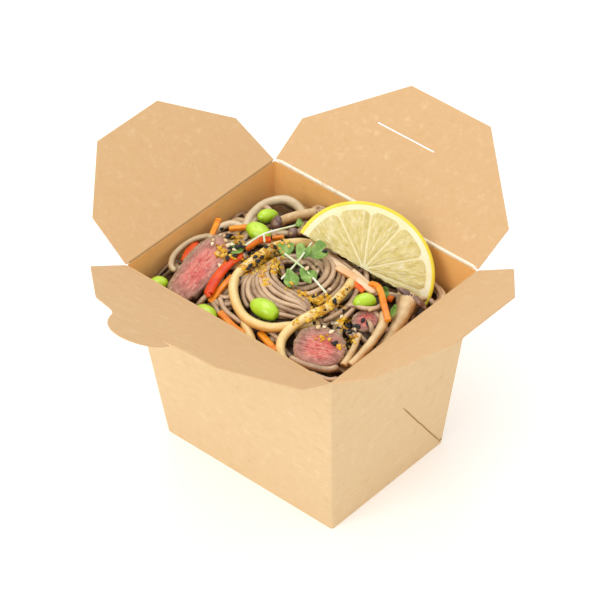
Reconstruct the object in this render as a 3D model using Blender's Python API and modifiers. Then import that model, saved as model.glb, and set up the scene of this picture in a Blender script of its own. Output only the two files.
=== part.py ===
# A kraft board noodle takeaway box with four hinged flaps, filled to just above its rim.
# The origin is the centre of the base. +X is the right wall, -Y the front wall, +Z up.
# Sizes and places below are in millimetres; MM turns them into Blender's metres.

import math
import random

import bmesh
import bpy
from mathutils import Matrix, Vector

MM = 0.001

# The box: a tapered carton, wider at the rim than at the base.
HEIGHT = 100.0
BASE_HALF = (50.0, 38.0)
RIM_HALF = (60.0, 49.0)
BOARD = 0.5
CORNER_RADIUS = 1.2
CORNER_STEPS = 2

# Each hinge line lies this far outside the rim and above it, so that its flap clears the wall
# both when it hangs down outside and when it lies over the box.
HINGE_OFFSET = 0.55

# Flap outlines as (along the hinge, out from the hinge). The hinge itself is the first side.
SIDE_FLAP = {"flare_half": 46.9, "flare_depth": 25.1, "end_half": 19.4, "depth": 52.1}
BACK_FLAP = {"flare_half": 60.7, "flare_depth": 22.5, "end_half": 23.1, "depth": 60.0}
FRONT_FLAP = {"flare_half": 61.6, "flare_depth": 22.1, "end_half": 34.6, "depth": 49.3}
FLAP_ANGLES = {"left": 33.6, "right": 33.0, "back": 29.5, "front": 28.9}
HINGE_END_GAP = 0.3

# The locking tab on the front flap, and the slot in the back flap that it belongs to.
TAB_LOBE = [
    (20.5, 54.3), (14.9, 63.6), (9.8, 69.4), (3.4, 73.1), (-3.5, 73.0), (-10.3, 67.9), (-12.9, 61.3),
]
TAB_TIP = (-13.1, 54.9)
TAB_HEEL = (-2.1, 53.8)
TAB_ROOT = (23.7, 52.3)
SLOT = {"centre": (-10.0, 37.5), "length": 33.5, "width": 0.7}

# Each finish's colour and roughness.
FINISHES = {
    "kraft_board": ((0.74, 0.50, 0.28), 0.80),
    "noodle": ((0.56, 0.38, 0.20), 0.40),
    "beef": ((0.48, 0.14, 0.12), 0.45),
    "lemon": ((0.86, 0.74, 0.22), 0.35),
    "green_bean": ((0.32, 0.62, 0.05), 0.25),
    "red_pepper": ((0.72, 0.06, 0.02), 0.25),
    "carrot": ((0.84, 0.30, 0.03), 0.40),
    "mushroom": ((0.46, 0.30, 0.17), 0.50),
    "greens": ((0.16, 0.42, 0.10), 0.50),
}

# The contents: a dome of noodles, highest in the middle and lowest at the right back corner.
HEAP_EDGE = 89.0
HEAP_RISE = 12.0
HEAP_CORNER_DROP = 9.0
CORE_DEPTH = 2.6
CORE_GRID = (15, 12)
CORE_BUMP = 0.6
WALL_GAP = 0.7
FLOOR_GAP = 0.4
TOPPING_GAP = 0.4

UDON_RADIUS = 2.3
SOBA_RADIUS = 1.4
STRAND_STEP = 5.0
STRIP_STEP = 4.0
SEED = 11

# Rises in the heap that carry the larger toppings: plan place, radius and height.
MOUNDS = [
    (-24.0, -20.0, 15.0, 4.0), (-30.0, 4.0, 14.0, 1.5), (27.0, -16.0, 12.0, 2.6),
    (43.0, -2.0, 16.0, 5.0), (-42.0, 28.0, 13.0, 2.6), (34.0, 8.0, 12.0, 1.5),
]

# The twirled nest of thin strands: rings of them on a ring-shaped mound round a hollow.
NEST_CENTRE = (5.0, -11.0)
NEST_RADII = (6.5, 9.8, 12.8, 15.6, 18.4)
NEST_CREST = 12.0
NEST_RISE = 2.4
NEST_SLOPE = 6.5
NEST_EDGE = 21.0
NEST_HOLLOW = 5.0
HOLLOW_DEPTH = 1.5
NEST_SWEEP = 150.0

# Sesame seeds and crumbs on the thick strands: length, width and height, half of each.
SESAME = (1.5, 0.9, 0.6)
CRUMB = (1.3, 1.0, 0.8)
SEED_SINK = 0.15
ABOVE_RIM = 30.0
SMOOTH_ANGLE = 40.0

# The lines that the thick strands and then the thin ones follow over the heap.
UDON_ROUTES = {
    "centre_loop": [
        (-7.4, 12.7, 102.5), (-12.5, 6.6, 103.5), (-15.7, -1.1, 104.0), (-17.0, -12.0, 103.2),
        (-17.6, -22.2, 101.4), (-13.7, -29.6, 99.8), (-4.6, -36.3, 98.0), (4.8, -38.8, 97.4),
        (14.1, -37.0, 97.9), (20.9, -31.6, 99.3), (25.5, -25.0, 99.6),
    ],
    "second_loop": [
        (24.0, 4.6, 100.6), (26.9, -5.0, 102.0), (27.6, -14.9, 101.7), (25.8, -23.6, 102.6),
        (23.4, -31.6, 100.5), (22.6, -38.5, 96.0), (27.4, -43.6, 92.6), (36.0, -44.6, 90.8),
    ],
    "back_arch": [
        (-41.0, 8.0, 93.0), (-45.6, 16.5, 95.8), (-46.4, 26.5, 96.6), (-41.6, 34.0, 97.4),
        (-34.0, 35.0, 97.4), (-26.5, 31.5, 96.0), (-22.0, 27.0, 92.0),
    ],
    "small_arch": [(-53.0, -2.5, 90.5), (-54.0, 3.5, 93.4), (-51.5, 9.6, 93.8), (-46.0, 11.0, 92.0)],
    "front_corner": [(16.0, -45.0, 89.5), (30.0, -46.0, 89.0), (44.0, -44.5, 88.6), (54.0, -38.0, 87.6)],
    "right_back": [(22.0, 43.0, 84.5), (36.0, 42.5, 83.5), (50.0, 40.0, 83.2), (54.5, 28.0, 86.0)],
    "right_wall": [(56.0, 20.0, 88.0), (56.5, 4.0, 89.5), (55.5, -12.0, 89.6), (54.0, -26.0, 89.2)],
    "back_wall": [(-50.0, 41.0, 87.6), (-36.0, 44.0, 87.6), (-18.0, 43.0, 88.2), (0.0, 42.5, 87.4)],
}
SOBA_ROUTES = {
    "left_ring": [
        (-50.5, -7.0, 93.0), (-55.0, -11.5, 93.4), (-56.2, -18.0, 93.0), (-54.5, -25.0, 91.8),
        (-50.5, -31.0, 90.0),
    ],
    "left_outer": [(-56.0, 14.0, 88.5), (-55.5, 26.0, 88.6), (-50.0, 37.0, 88.4)],
    "front_left": [(-52.0, -40.0, 88.0), (-36.0, -45.5, 88.4), (-20.0, -45.5, 89.4), (-6.0, -45.0, 90.6)],
    "front_swirl": [(-14.0, -34.5, 96.0), (0.0, -42.5, 93.4), (10.0, -44.8, 91.6), (22.0, -45.2, 90.2)],
    "right_swirl": [(30.5, -3.0, 98.2), (33.0, 6.0, 97.8), (31.0, 15.0, 96.0), (24.0, 20.0, 95.0)],
    "right_low": [(52.5, -34.0, 90.0), (50.0, -12.0, 91.5), (44.0, 12.0, 91.8), (30.0, 25.0, 92.6)],
    "back_low": [(-20.0, 22.0, 97.0), (-8.0, 30.0, 94.6), (6.0, 33.0, 92.6), (20.0, 34.0, 90.2)],
    "left_low": [(-44.0, -1.0, 95.6), (-36.0, -6.0, 98.0), (-28.0, 14.0, 97.6), (-38.0, 22.0, 95.0)],
}

# The beef slices: half sizes, thickness, place of the upper face, its normal and the way of its length.
BEEF = {
    "beef_left": {"half": (18.5, 9.0), "thickness": 9.0, "centre": (-37.0, -27.5, 98.4),
                  "normal": (-0.06, -0.22, 0.97), "along": (0.16, -1.0, -0.1), "corners": 22, "power": 2.6},
    "beef_front": {"half": (11.5, 9.6), "thickness": 9.0, "centre": (38.2, -31.2, 98.6),
                   "normal": (0.26, -0.36, 0.90), "along": (0.9, 0.42, 0.0), "corners": 22, "power": 2.3},
    "beef_back": {"half": (6.0, 5.4), "thickness": 6.5, "centre": (41.6, -5.4, 97.0),
                  "normal": (0.22, -0.30, 0.93), "along": (0.55, 0.83, 0.0), "corners": 16, "power": 2.2},
}
BEEF_RAGGED = 0.04
BEEF_ROUNDING = 1.0
BEEF_UNDERCUT = 0.92

# The half wheel of lemon stands on its cut edge and leans back on the noodles.
LEMON = {"radius": 31.0, "thickness": 6.0, "centre": (19.7, 18.8, 98.5),
         "normal": (0.512, -0.561, 0.651), "cut_line": (0.859, 0.328, -0.393)}
LEMON_SEGMENTS = 48
LEMON_ROUNDING = 0.7

# Shelled beans: place, (length, width, height), heading and tilt in degrees.
BEANS = {
    "bean_front_left": ((-47.6, -41.4, 93.0), (10.5, 7.5, 7.0), 85.0, 10.0),
    "bean_front": ((-17.4, -43.2, 93.6), (12.0, 8.0, 7.4), -5.0, 6.0),
    "bean_back": ((-36.6, 18.6, 99.4), (10.5, 6.8, 6.4), 71.0, 12.0),
    "bean_split": ((-30.6, 5.6, 101.6), (13.0, 9.0, 7.6), -3.0, 8.0),
    "bean_centre": ((6.2, -30.6, 101.0), (14.0, 9.0, 8.0), 0.0, 2.0),
    "bean_right": ((35.4, 1.8, 100.6), (11.0, 8.6, 7.8), 58.0, 0.0),
}

# Strips of pepper and carrot: the line that each follows, and its width.
PEPPERS = {
    "pepper_long": (
        [(-23.6, -13.6, 103.6), (-24.0, -20.6, 103.0), (-23.2, -29.8, 101.0), (-20.8, -38.4, 98.0)], 4.4,
    ),
    "pepper_short": ([(-26.0, -8.0, 102.0), (-23.9, -1.7, 104.2), (-20.6, 2.6, 103.6)], 3.6),
    "pepper_left": ([(-51.0, -19.6, 93.0), (-51.6, -13.6, 93.6), (-50.0, -8.6, 94.0)], 3.6),
    "pepper_right": ([(22.4, 6.8, 100.2), (30.2, 7.4, 98.6)], 3.4),
    "pepper_end": ([(35.2, 15.2, 93.4), (38.6, 16.6, 92.4)], 3.4),
}
CARROTS = {
    "carrot_back_left": ([(-56.2, 5.0, 94.6), (-49.6, -5.0, 95.4)], 2.8),
    "carrot_left": ([(-46.2, 3.2, 95.6), (-39.4, 8.6, 97.0)], 2.4),
    "carrot_long": ([(-19.6, -23.4, 99.6), (-19.4, -32.0, 97.6), (-19.2, -38.6, 94.6)], 2.8),
    "carrot_front_left": ([(-11.7, -40.2, 93.6), (-4.0, -42.6, 93.0), (3.5, -42.6, 92.4)], 2.8),
    "carrot_front": ([(9.7, -39.8, 92.0), (19.6, -41.4, 91.4)], 3.0),
    "carrot_top": ([(-24.3, 7.6, 99.2), (-20.6, 11.4, 99.4)], 2.2),
    "carrot_bent": ([(29.8, 11.6, 100.2), (35.4, 11.0, 101.0), (45.0, 3.4, 101.2), (51.6, -1.8, 99.8)], 2.8),
    "carrot_lemon": ([(12.6, 8.6, 101.8), (23.4, 10.4, 99.6), (33.0, 10.6, 96.6)], 3.4),
}
PEPPER_THICKNESS = 2.2
CARROT_THICKNESS = 2.0

# Mushrooms: the stem's line, its radius at both ends, and the cap on its first end.
CAP_ALONG = (0.86, 0.40, -0.33)
CAP_UNDERSIDE = 0.45
MUSHROOMS = {
    "mushroom_back": ([(-29.4, 17.8, 99.2), (-27.6, 25.4, 98.4), (-24.0, 35.4, 96.4)], (2.3, 2.5),
                      {"centre": (-29.4, 16.4, 99.6), "axis": (-0.5, -0.7, 0.4), "radius": 3.1,
                       "height": 2.6, "narrow": 1.0}),
    "mushroom_small": ([(-19.0, 16.2, 99.8), (-17.6, 19.0, 98.0)], (1.3, 1.1),
                       {"centre": (-19.0, 15.6, 100.0), "axis": (-0.2, -0.5, 0.8), "radius": 2.6,
                        "height": 2.2, "narrow": 1.0}),
    "mushroom_right": ([(42.2, 21.0, 93.6), (48.2, 7.4, 93.2), (53.6, -5.0, 91.6), (55.0, -15.0, 90.6)],
                       (3.2, 1.6), {"centre": (41.4, 22.6, 93.6), "axis": (0.1, 0.75, 0.6), "radius": 8.0,
                                    "height": 2.8, "narrow": 0.55}),
    "mushroom_stem": ([(45.8, 2.6, 97.6), (49.8, -3.6, 97.0), (52.4, -13.0, 96.0), (53.4, -21.0, 94.8)],
                      (1.6, 1.4), None),
    "mushroom_sliver": ([(45.8, -13.8, 96.8), (49.4, -22.6, 95.2), (51.2, -31.0, 93.0)], (1.2, 1.5), None),
}

# Sprigs: stem lines, then leaves as (centre, normal, way of its length, length, width).
LEAF_THICKNESS = 0.5
STEM_RADIUS = 0.55
SPRIGS = {
    "sprig_left": (
        [[(-24.6, -11.8, 105.8), (-22.6, 0.4, 107.0), (-16.4, 14.9, 106.4)],
         [(-22.6, 0.4, 107.0), (-18.6, -3.4, 107.0)]],
        [((-25.6, -13.4, 105.9), (0.1, -0.2, 1.0), (-0.5, -0.8, 0.0), 6.5, 6.0),
         ((-16.0, 16.4, 106.4), (0.1, -0.2, 1.0), (0.3, 1.0, 0.0), 4.0, 3.4)],
    ),
    "sprig_centre": (
        [[(-6.9, -3.6, 107.2), (8.0, -6.5, 107.8), (24.0, -10.6, 105.8)],
         [(3.4, -17.0, 106.6), (2.0, -5.4, 107.6), (-2.4, 10.0, 107.4)]],
        [((-7.6, -1.6, 107.4), (0.2, -0.3, 1.0), (-0.6, 0.8, 0.0), 7.0, 6.4),
         ((-0.6, 1.6, 107.8), (0.2, -0.4, 1.0), (-0.2, 1.0, 0.1), 7.4, 6.6),
         ((4.0, 6.0, 107.8), (0.1, -0.4, 1.0), (0.6, 0.8, 0.1), 9.0, 8.0),
         ((6.4, -14.0, 106.9), (0.1, -0.3, 1.0), (0.8, -0.6, 0.0), 9.0, 6.0),
         ((11.0, -8.6, 107.6), (0.2, -0.2, 1.0), (0.9, -0.1, 0.0), 8.0, 6.4)],
    ),
}
# Two leaves that lie on their own, given as a sprig's leaves are.
HERB_LEAVES = {
    "herb_leaf_back": ((36.6, 13.4, 97.4), (0.5, -0.3, 0.8), (0.4, -0.6, -0.4), 5.5, 3.6),
    "herb_leaf_front": ((49.2, 6.6, 98.2), (0.5, -0.3, 0.8), (0.35, -0.9, -0.25), 6.5, 3.2),
}


def clear_scene():
    for obj in list(bpy.data.objects):
        bpy.data.objects.remove(obj, do_unlink=True)


def new_collection(name):
    collection = bpy.data.collections.new(name)
    bpy.context.scene.collection.children.link(collection)
    return collection


def new_material(name, colour, roughness):
    material = bpy.data.materials.new(name)
    material.use_nodes = True
    shader = material.node_tree.nodes["Principled BSDF"]
    shader.inputs["Base Color"].default_value = (*colour, 1.0)
    shader.inputs["Roughness"].default_value = roughness
    shader.inputs["Metallic"].default_value = 0.0
    return material


def metres(point):
    return Vector(point) * MM


def heap_height(x, y):
    """Height of the noodles' upper surface over the plan point x, y."""
    across = max(-1.0, min(1.0, x / RIM_HALF[0]))
    along = max(-1.0, min(1.0, y / RIM_HALF[1]))
    dome = (1.0 - across * across) * (1.0 - along * along)
    corner = max(0.0, (across + along) / 2.0) ** 2
    height = HEAP_EDGE + HEAP_RISE * dome ** 0.7 - HEAP_CORNER_DROP * corner
    for mound_x, mound_y, radius, rise in MOUNDS:
        part = math.hypot(x - mound_x, y - mound_y) / radius
        if part < 1.0:
            height += rise * (1.0 - part * part) ** 2
    return height


def face_outward(shape):
    """Makes the faces agree, and turns them all round where they enclose a negative volume."""
    bmesh.ops.recalc_face_normals(shape, faces=shape.faces)
    if shape.calc_volume(signed=True) < 0.0:
        bmesh.ops.reverse_faces(shape, faces=shape.faces)


def link_mesh(name, mesh, collection, material=None):
    obj = bpy.data.objects.new(name, mesh)
    collection.objects.link(obj)
    if material:
        mesh.materials.clear()
        mesh.materials.append(material)
    return obj


def bmesh_object(name, shape, collection, material=None):
    mesh = bpy.data.meshes.new(name)
    shape.to_mesh(mesh)
    shape.free()
    return link_mesh(name, mesh, collection, material)


def applied(obj, name, collection, material=None, merge=0.01):
    """Replaces a curve, or an object with modifiers, by the closed mesh that it evaluates to."""
    bpy.context.view_layer.update()
    mesh = bpy.data.meshes.new_from_object(obj.evaluated_get(bpy.context.evaluated_depsgraph_get()))
    shape = bmesh.new()
    shape.from_mesh(mesh)
    bmesh.ops.remove_doubles(shape, verts=shape.verts, dist=merge * MM)
    face_outward(shape)
    shape.to_mesh(mesh)
    shape.free()
    place = obj.matrix_world.copy()
    bpy.data.objects.remove(obj, do_unlink=True)
    mesh.name = name
    result = link_mesh(name, mesh, collection, material)
    result.matrix_world = place
    return result


def smooth_round_parts(obj):
    obj.data.shade_smooth()
    obj.data.set_sharp_from_angle(angle=math.radians(SMOOTH_ANGLE))


def frame_of(centre, normal, along):
    """A placing matrix in metres whose Z is the normal and whose X runs along the given way."""
    up = Vector(normal).normalized()
    side = up.cross(Vector(along)).normalized()
    forward = side.cross(up)
    turn = Matrix((forward, side, up)).transposed().to_4x4()
    return Matrix.Translation(metres(centre)) @ turn


# The box and its flaps

def half_sizes(z):
    part = z / HEIGHT
    return [base + (rim - base) * part for base, rim in zip(BASE_HALF, RIM_HALF)]


def tapered_block(low, high, inset):
    """A block that follows the box's tapered walls from height low to high, moved in by inset."""
    shape = bmesh.new()
    bmesh.ops.create_cube(shape, size=2.0)
    for vert in shape.verts:
        z = high if vert.co.z > 0.0 else low
        half_x, half_y = half_sizes(z)
        vert.co = metres((vert.co.x * (half_x - inset), vert.co.y * (half_y - inset), z))
    return shape


def make_tray(collection, material):
    shape = tapered_block(0.0, HEIGHT, 0.0)
    standing = [edge for edge in shape.edges if abs(edge.verts[0].co.z - edge.verts[1].co.z) > MM]
    bmesh.ops.bevel(
        shape, geom=standing, offset=CORNER_RADIUS * MM, offset_type="OFFSET",
        segments=CORNER_STEPS, profile=0.5, affect="EDGES",
    )
    shape.normal_update()
    top = [face for face in shape.faces if face.normal.z > 0.9]
    bmesh.ops.delete(shape, geom=top, context="FACES")
    tray = bmesh_object("tray", shape, collection, material)
    wall = tray.modifiers.new("board", "SOLIDIFY")
    wall.thickness = BOARD * MM
    wall.offset = -1.0
    wall.use_even_offset = True
    return tray


def flap_outline(flap, hinge_half, tab=None):
    """Corner points from the left end of the hinge round the flap; each is (point, is round)."""
    right = [(hinge_half - HINGE_END_GAP, 0.0), (flap["flare_half"], flap["flare_depth"]),
             (flap["end_half"], flap["depth"])]
    left = [(-x, y) for x, y in reversed(right)]
    points = [(corner, False) for corner in right]
    if tab:
        points.append((TAB_ROOT, False))
        points.extend((corner, True) for corner in TAB_LOBE)
        points.append((TAB_TIP, False))
        points.append((TAB_HEEL, False))
    points.extend((corner, False) for corner in left)
    return points


def board_shape(name, outline, collection, material):
    """A flat outline cut from board, centred on its own plane."""
    curve = bpy.data.curves.new(name, "CURVE")
    curve.dimensions = "2D"
    curve.fill_mode = "BOTH"
    curve.extrude = BOARD * MM / 2.0
    curve.resolution_u = 4
    spline = curve.splines.new("BEZIER")
    spline.bezier_points.add(len(outline) - 1)
    spline.use_cyclic_u = True
    for point, (corner, is_round) in zip(spline.bezier_points, outline):
        point.co = metres((corner[0], corner[1], 0.0))
        kind = "AUTO" if is_round else "VECTOR"
        point.handle_left_type = kind
        point.handle_right_type = kind
    guide = bpy.data.objects.new(name + "_outline", curve)
    collection.objects.link(guide)
    return applied(guide, name, collection, material)


def make_flap(name, side, heading, flap, hinge_half, collection, material, tab=False):
    """A flap on an empty that stands on its hinge line, turned out and raised by its angle."""
    reach = RIM_HALF[1] if side in ("back", "front") else RIM_HALF[0]
    outward = Vector((-math.sin(heading), math.cos(heading), 0.0))
    hinge = bpy.data.objects.new(name + "_hinge", None)
    collection.objects.link(hinge)
    hinge.location = metres(outward * (reach + HINGE_OFFSET) + Vector((0.0, 0.0, HEIGHT + HINGE_OFFSET)))
    hinge.rotation_euler = (math.radians(FLAP_ANGLES[side]), 0.0, heading)
    board = board_shape(name, flap_outline(flap, hinge_half, tab), collection, material)
    board.parent = hinge
    return board


def cut_slot(board, cutters):
    shape = bmesh.new()
    bmesh.ops.create_cube(shape, size=1.0)
    size = metres((SLOT["length"], SLOT["width"], BOARD * 6.0))
    for vert in shape.verts:
        vert.co = Vector(a * b for a, b in zip(vert.co, size)) + metres((*SLOT["centre"], 0.0))
    cutter = bmesh_object("slot_cutter", shape, cutters)
    cutter.parent = board.parent
    cutter.hide_render = True
    cutter.display_type = "WIRE"
    cut = board.modifiers.new("slot", "BOOLEAN")
    cut.operation = "DIFFERENCE"
    cut.object = cutter


# Strands, strips and stems

def smooth_path(points, step, closed=False):
    """Points about one step apart on a smooth curve through the given points."""
    points = [Vector(point) for point in points]
    count = len(points)
    path = []
    for index in range(count if closed else count - 1):
        if closed:
            before, start, end, after = [points[(index + shift) % count] for shift in (-1, 0, 1, 2)]
        else:
            start, end = points[index], points[index + 1]
            before = points[index - 1] if index else start + start - end
            after = points[index + 2] if index + 2 < count else end + end - start
        pieces = max(1, round((end - start).length / step))
        for piece in range(pieces):
            t = piece / pieces
            path.append(0.5 * (
                2.0 * start + (end - before) * t
                + (2.0 * before - 5.0 * start + 4.0 * end - after) * t ** 2
                + (3.0 * start - 3.0 * end - before + after) * t ** 3
            ))
    if not closed:
        path.append(points[-1])
    return path


def tube(name, path, radii, collection, material=None, sides=1, flat=0.0):
    """A round or flattened strand along the path, as a closed mesh. Sizes in millimetres."""
    curve = bpy.data.curves.new(name, "CURVE")
    curve.dimensions = "3D"
    curve.bevel_depth = MM
    curve.bevel_resolution = sides
    curve.use_fill_caps = True
    curve.twist_mode = "Z_UP"
    if flat:
        curve.bevel_depth = radii[0] * MM
        curve.extrude = flat * MM
    spline = curve.splines.new("POLY")
    spline.points.add(len(path) - 1)
    for index, (point, place) in enumerate(zip(spline.points, path)):
        point.co = (*metres(place), 1.0)
        point.tilt = math.pi / 2.0 if flat else 0.0
        point.radius = 1.0 if flat else radii[min(index, len(radii) - 1)]
    guide = bpy.data.objects.new(name + "_line", curve)
    collection.objects.link(guide)
    return applied(guide, name, collection, material)


def tapered(path, start, end):
    last = len(path) - 1
    return [start + (end - start) * index / last for index in range(last + 1)]


def strand(name, points, radius, collection):
    path = smooth_path(points, STRAND_STEP)
    tube(name, path, [radius], collection)


def joined(base, others, operation):
    """Applies one Boolean of a whole collection to an object and removes the collection's objects.

    The solver is MANIFOLD because EXACT leaves open edges where many thin strands cross.
    """
    change = base.modifiers.new("join", "BOOLEAN")
    change.operation = operation
    change.operand_type = "COLLECTION"
    change.collection = others
    change.solver = "MANIFOLD"
    name = base.name
    home = base.users_collection[0]
    material = base.data.materials[0] if base.data.materials else None
    result = applied(base, name, home, material, merge=0.0002)
    for obj in list(others.objects):
        bpy.data.objects.remove(obj, do_unlink=True)
    bpy.data.collections.remove(others)
    result.name = name
    return result


def keep_largest_shell(obj):
    """Drops the loose scraps that cutting leaves."""
    shape = bmesh.new()
    shape.from_mesh(obj.data)
    left = set(shape.verts)
    shells = []
    while left:
        shell = set()
        edge_of_search = [left.pop()]
        while edge_of_search:
            vert = edge_of_search.pop()
            shell.add(vert)
            for edge in vert.link_edges:
                other = edge.other_vert(vert)
                if other in left:
                    left.remove(other)
                    edge_of_search.append(other)
        shells.append(shell)
    shells.sort(key=len)
    scraps = [vert for shell in shells[:-1] for vert in shell]
    bmesh.ops.delete(shape, geom=scraps, context="VERTS")
    shape.to_mesh(obj.data)
    shape.free()


# The noodles

def nest_height(radius):
    """The twirled nest is a ring-shaped mound with a hollow in its middle."""
    offset = (radius - NEST_CREST) / NEST_CREST
    return heap_height(*NEST_CENTRE) + NEST_RISE - NEST_SLOPE * offset * offset


def core_height(x, y):
    """Height of the bare mound under the strands."""
    height = heap_height(x, y) - CORE_DEPTH
    radius = math.hypot(x - NEST_CENTRE[0], y - NEST_CENTRE[1])
    if radius < NEST_HOLLOW:
        return height - HOLLOW_DEPTH
    if radius < NEST_EDGE:
        return max(height, nest_height(radius) - SOBA_RADIUS * 0.6)
    return height


def nest_strand(radius, start, sweep, wobble):
    points = []
    steps = max(4, round(sweep / 0.45))
    for step in range(steps + 1):
        turn = start + sweep * step / steps
        here = radius * (1.0 + 0.10 * math.sin(2.0 * turn + wobble))
        height = nest_height(here) + 0.8 * math.sin(3.0 * turn + 2.0 * wobble)
        x = NEST_CENTRE[0] + here * math.cos(turn)
        y = NEST_CENTRE[1] + here * math.sin(turn)
        points.append((x, y, height))
    return points


def make_core(collection, material):
    """The bare mound that carries the strands: a lumpy top on straight tapered sides."""
    rng = random.Random(SEED)
    shape = bmesh.new()
    bmesh.ops.create_grid(shape, x_segments=CORE_GRID[0], y_segments=CORE_GRID[1], size=1.0)
    side = [edge for edge in shape.edges if edge.is_boundary]
    down = bmesh.ops.extrude_edge_only(shape, edges=side)["geom"]
    bottom = {item for item in down if isinstance(item, bmesh.types.BMVert)}
    for vert in shape.verts:
        x, y = vert.co.x, vert.co.y
        if vert in bottom:
            z = BOARD + FLOOR_GAP
        else:
            z = core_height(x * RIM_HALF[0], y * RIM_HALF[1]) + rng.uniform(-CORE_BUMP, CORE_BUMP)
        half_x, half_y = half_sizes(z)
        inset = BOARD + WALL_GAP
        vert.co = metres((x * (half_x - inset), y * (half_y - inset), z))
    rim = [edge for edge in shape.edges if edge.is_boundary]
    bmesh.ops.contextual_create(shape, geom=rim)
    face_outward(shape)
    bmesh.ops.triangulate(shape, faces=shape.faces)
    return bmesh_object("noodles", shape, collection, material)


def seed_at(place, size, turn, collection):
    """A sesame seed or a crumb: a small ball stretched to its length, width and height."""
    shape = bmesh.new()
    bmesh.ops.create_uvsphere(shape, u_segments=6, v_segments=4, radius=1.0)
    spot = Matrix.Translation(metres(place)) @ Matrix.Rotation(turn, 4, "Z")
    for vert in shape.verts:
        vert.co = spot @ Vector(a * b * MM for a, b in zip(vert.co, size))
    bmesh_object("seed", shape, collection)


def scatter_on_route(route, count, spread, size, rng, collection):
    """Seeds or crumbs along the top of a thick strand, sunk a little into it."""
    path = smooth_path(route, 1.0)
    for _ in range(count):
        spot = path[rng.randrange(len(path))]
        aside = (rng.uniform(-spread, spread), rng.uniform(-spread, spread), UDON_RADIUS - SEED_SINK)
        place = spot + Vector(aside)
        seed_at(place, size, rng.uniform(0.0, math.pi), collection)


def make_noodles(collection, material, toppings):
    noodles = make_core(collection, material)
    strands = new_collection("strands")
    for name, route in UDON_ROUTES.items():
        strand(name, route, UDON_RADIUS, strands)
    for name, route in SOBA_ROUTES.items():
        strand(name, route, SOBA_RADIUS, strands)
    rng = random.Random(SEED)
    for index, radius in enumerate(NEST_RADII):
        for copy in range(2):
            start = 2.4 * index + math.pi * copy
            sweep = math.radians(NEST_SWEEP) + 0.5 * rng.random()
            strand(f"nest_{index}_{copy}", nest_strand(radius, start, sweep, index), SOBA_RADIUS, strands)
    loop = UDON_ROUTES["centre_loop"]
    second = UDON_ROUTES["second_loop"]
    scatter_on_route(loop[1:5], 6, 1.0, SESAME, rng, strands)
    scatter_on_route(loop[1:4], 6, 1.2, CRUMB, rng, strands)
    scatter_on_route(second[1:4], 5, 0.9, SESAME, rng, strands)
    scatter_on_route(second[1:4], 5, 1.0, CRUMB, rng, strands)
    noodles = joined(noodles, strands, "UNION")
    room = new_collection("room_for_toppings")
    for topping in toppings:
        grown_copy(topping, TOPPING_GAP, room)
    noodles = joined(noodles, room, "DIFFERENCE")
    inside = new_collection("room_in_the_box")
    bmesh_object("inner_walls", tapered_block(BOARD, HEIGHT + ABOVE_RIM, BOARD + TOPPING_GAP), inside)
    noodles = joined(noodles, inside, "INTERSECT")
    keep_largest_shell(noodles)
    return noodles


def grown_copy(obj, growth, collection):
    """A copy of a topping, grown on all sides, that cuts room for it in the noodles."""
    shape = bmesh.new()
    shape.from_mesh(obj.data)
    shape.transform(obj.matrix_world)
    shape.normal_update()
    moves = [(vert, vert.normal.copy()) for vert in shape.verts]
    for vert, normal in moves:
        vert.co += normal * growth * MM
    bmesh_object(obj.name + "_room", shape, collection)


# The toppings

def slab(name, cut, collection, material):
    """A slice of beef: a rounded uneven outline whose upper face lies where the table says."""
    placing = frame_of(cut["centre"], cut["normal"], cut["along"])
    half_x, half_y = cut["half"]
    roundness = 2.0 / cut["power"]
    shape = bmesh.new()
    ring = []
    for index in range(cut["corners"]):
        turn = math.tau * index / cut["corners"]
        wave = 1.0 + BEEF_RAGGED * (math.sin(3.0 * turn + 1.0) + 0.6 * math.sin(7.0 * turn))
        flat_x = math.copysign(abs(math.cos(turn)) ** roundness, math.cos(turn))
        flat_y = math.copysign(abs(math.sin(turn)) ** roundness, math.sin(turn))
        ring.append(shape.verts.new(metres((half_x * wave * flat_x, half_y * wave * flat_y, 0.0))))
    upper = shape.faces.new(ring)
    grown = bmesh.ops.extrude_face_region(shape, geom=[upper])["geom"]
    for item in grown:
        if isinstance(item, bmesh.types.BMVert):
            x, y, z = item.co
            item.co = Vector((x * BEEF_UNDERCUT, y * BEEF_UNDERCUT, z - cut["thickness"] * MM))
    face_outward(shape)
    rim = [edge for edge in shape.edges if abs(edge.verts[0].co.z - edge.verts[1].co.z) < 0.1 * MM]
    bmesh.ops.bevel(shape, geom=rim, offset=BEEF_ROUNDING * MM, segments=2, profile=0.5, affect="EDGES")
    shape.transform(placing)
    obj = bmesh_object(name, shape, collection, material)
    smooth_round_parts(obj)
    return obj


def lemon_half(name, collection, material):
    """A half wheel of lemon. In its placing matrix X runs along the cut and Y up the wheel."""
    placing = frame_of(LEMON["centre"], LEMON["normal"], LEMON["cut_line"])
    radius = LEMON["radius"] * MM
    thickness = LEMON["thickness"] * MM
    shape = bmesh.new()
    bmesh.ops.create_cone(
        shape, cap_ends=True, segments=LEMON_SEGMENTS, radius1=radius, radius2=radius, depth=thickness,
    )
    everything = shape.verts[:] + shape.edges[:] + shape.faces[:]
    cut = bmesh.ops.bisect_plane(
        shape, geom=everything, plane_co=(0, 0, 0), plane_no=(0, -1, 0), clear_outer=True,
    )
    edges = [item for item in cut["geom_cut"] if isinstance(item, bmesh.types.BMEdge)]
    bmesh.ops.edgenet_fill(shape, edges=edges)
    face_outward(shape)
    rind = [edge for edge in shape.edges if edge.calc_face_angle(0.0) > math.radians(60.0)]
    bmesh.ops.bevel(shape, geom=rind, offset=LEMON_ROUNDING * MM, segments=1, affect="EDGES")
    for vert in shape.verts:
        vert.co.z -= thickness / 2.0
    shape.transform(placing)
    obj = bmesh_object(name, shape, collection, material)
    smooth_round_parts(obj)
    return obj


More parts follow.
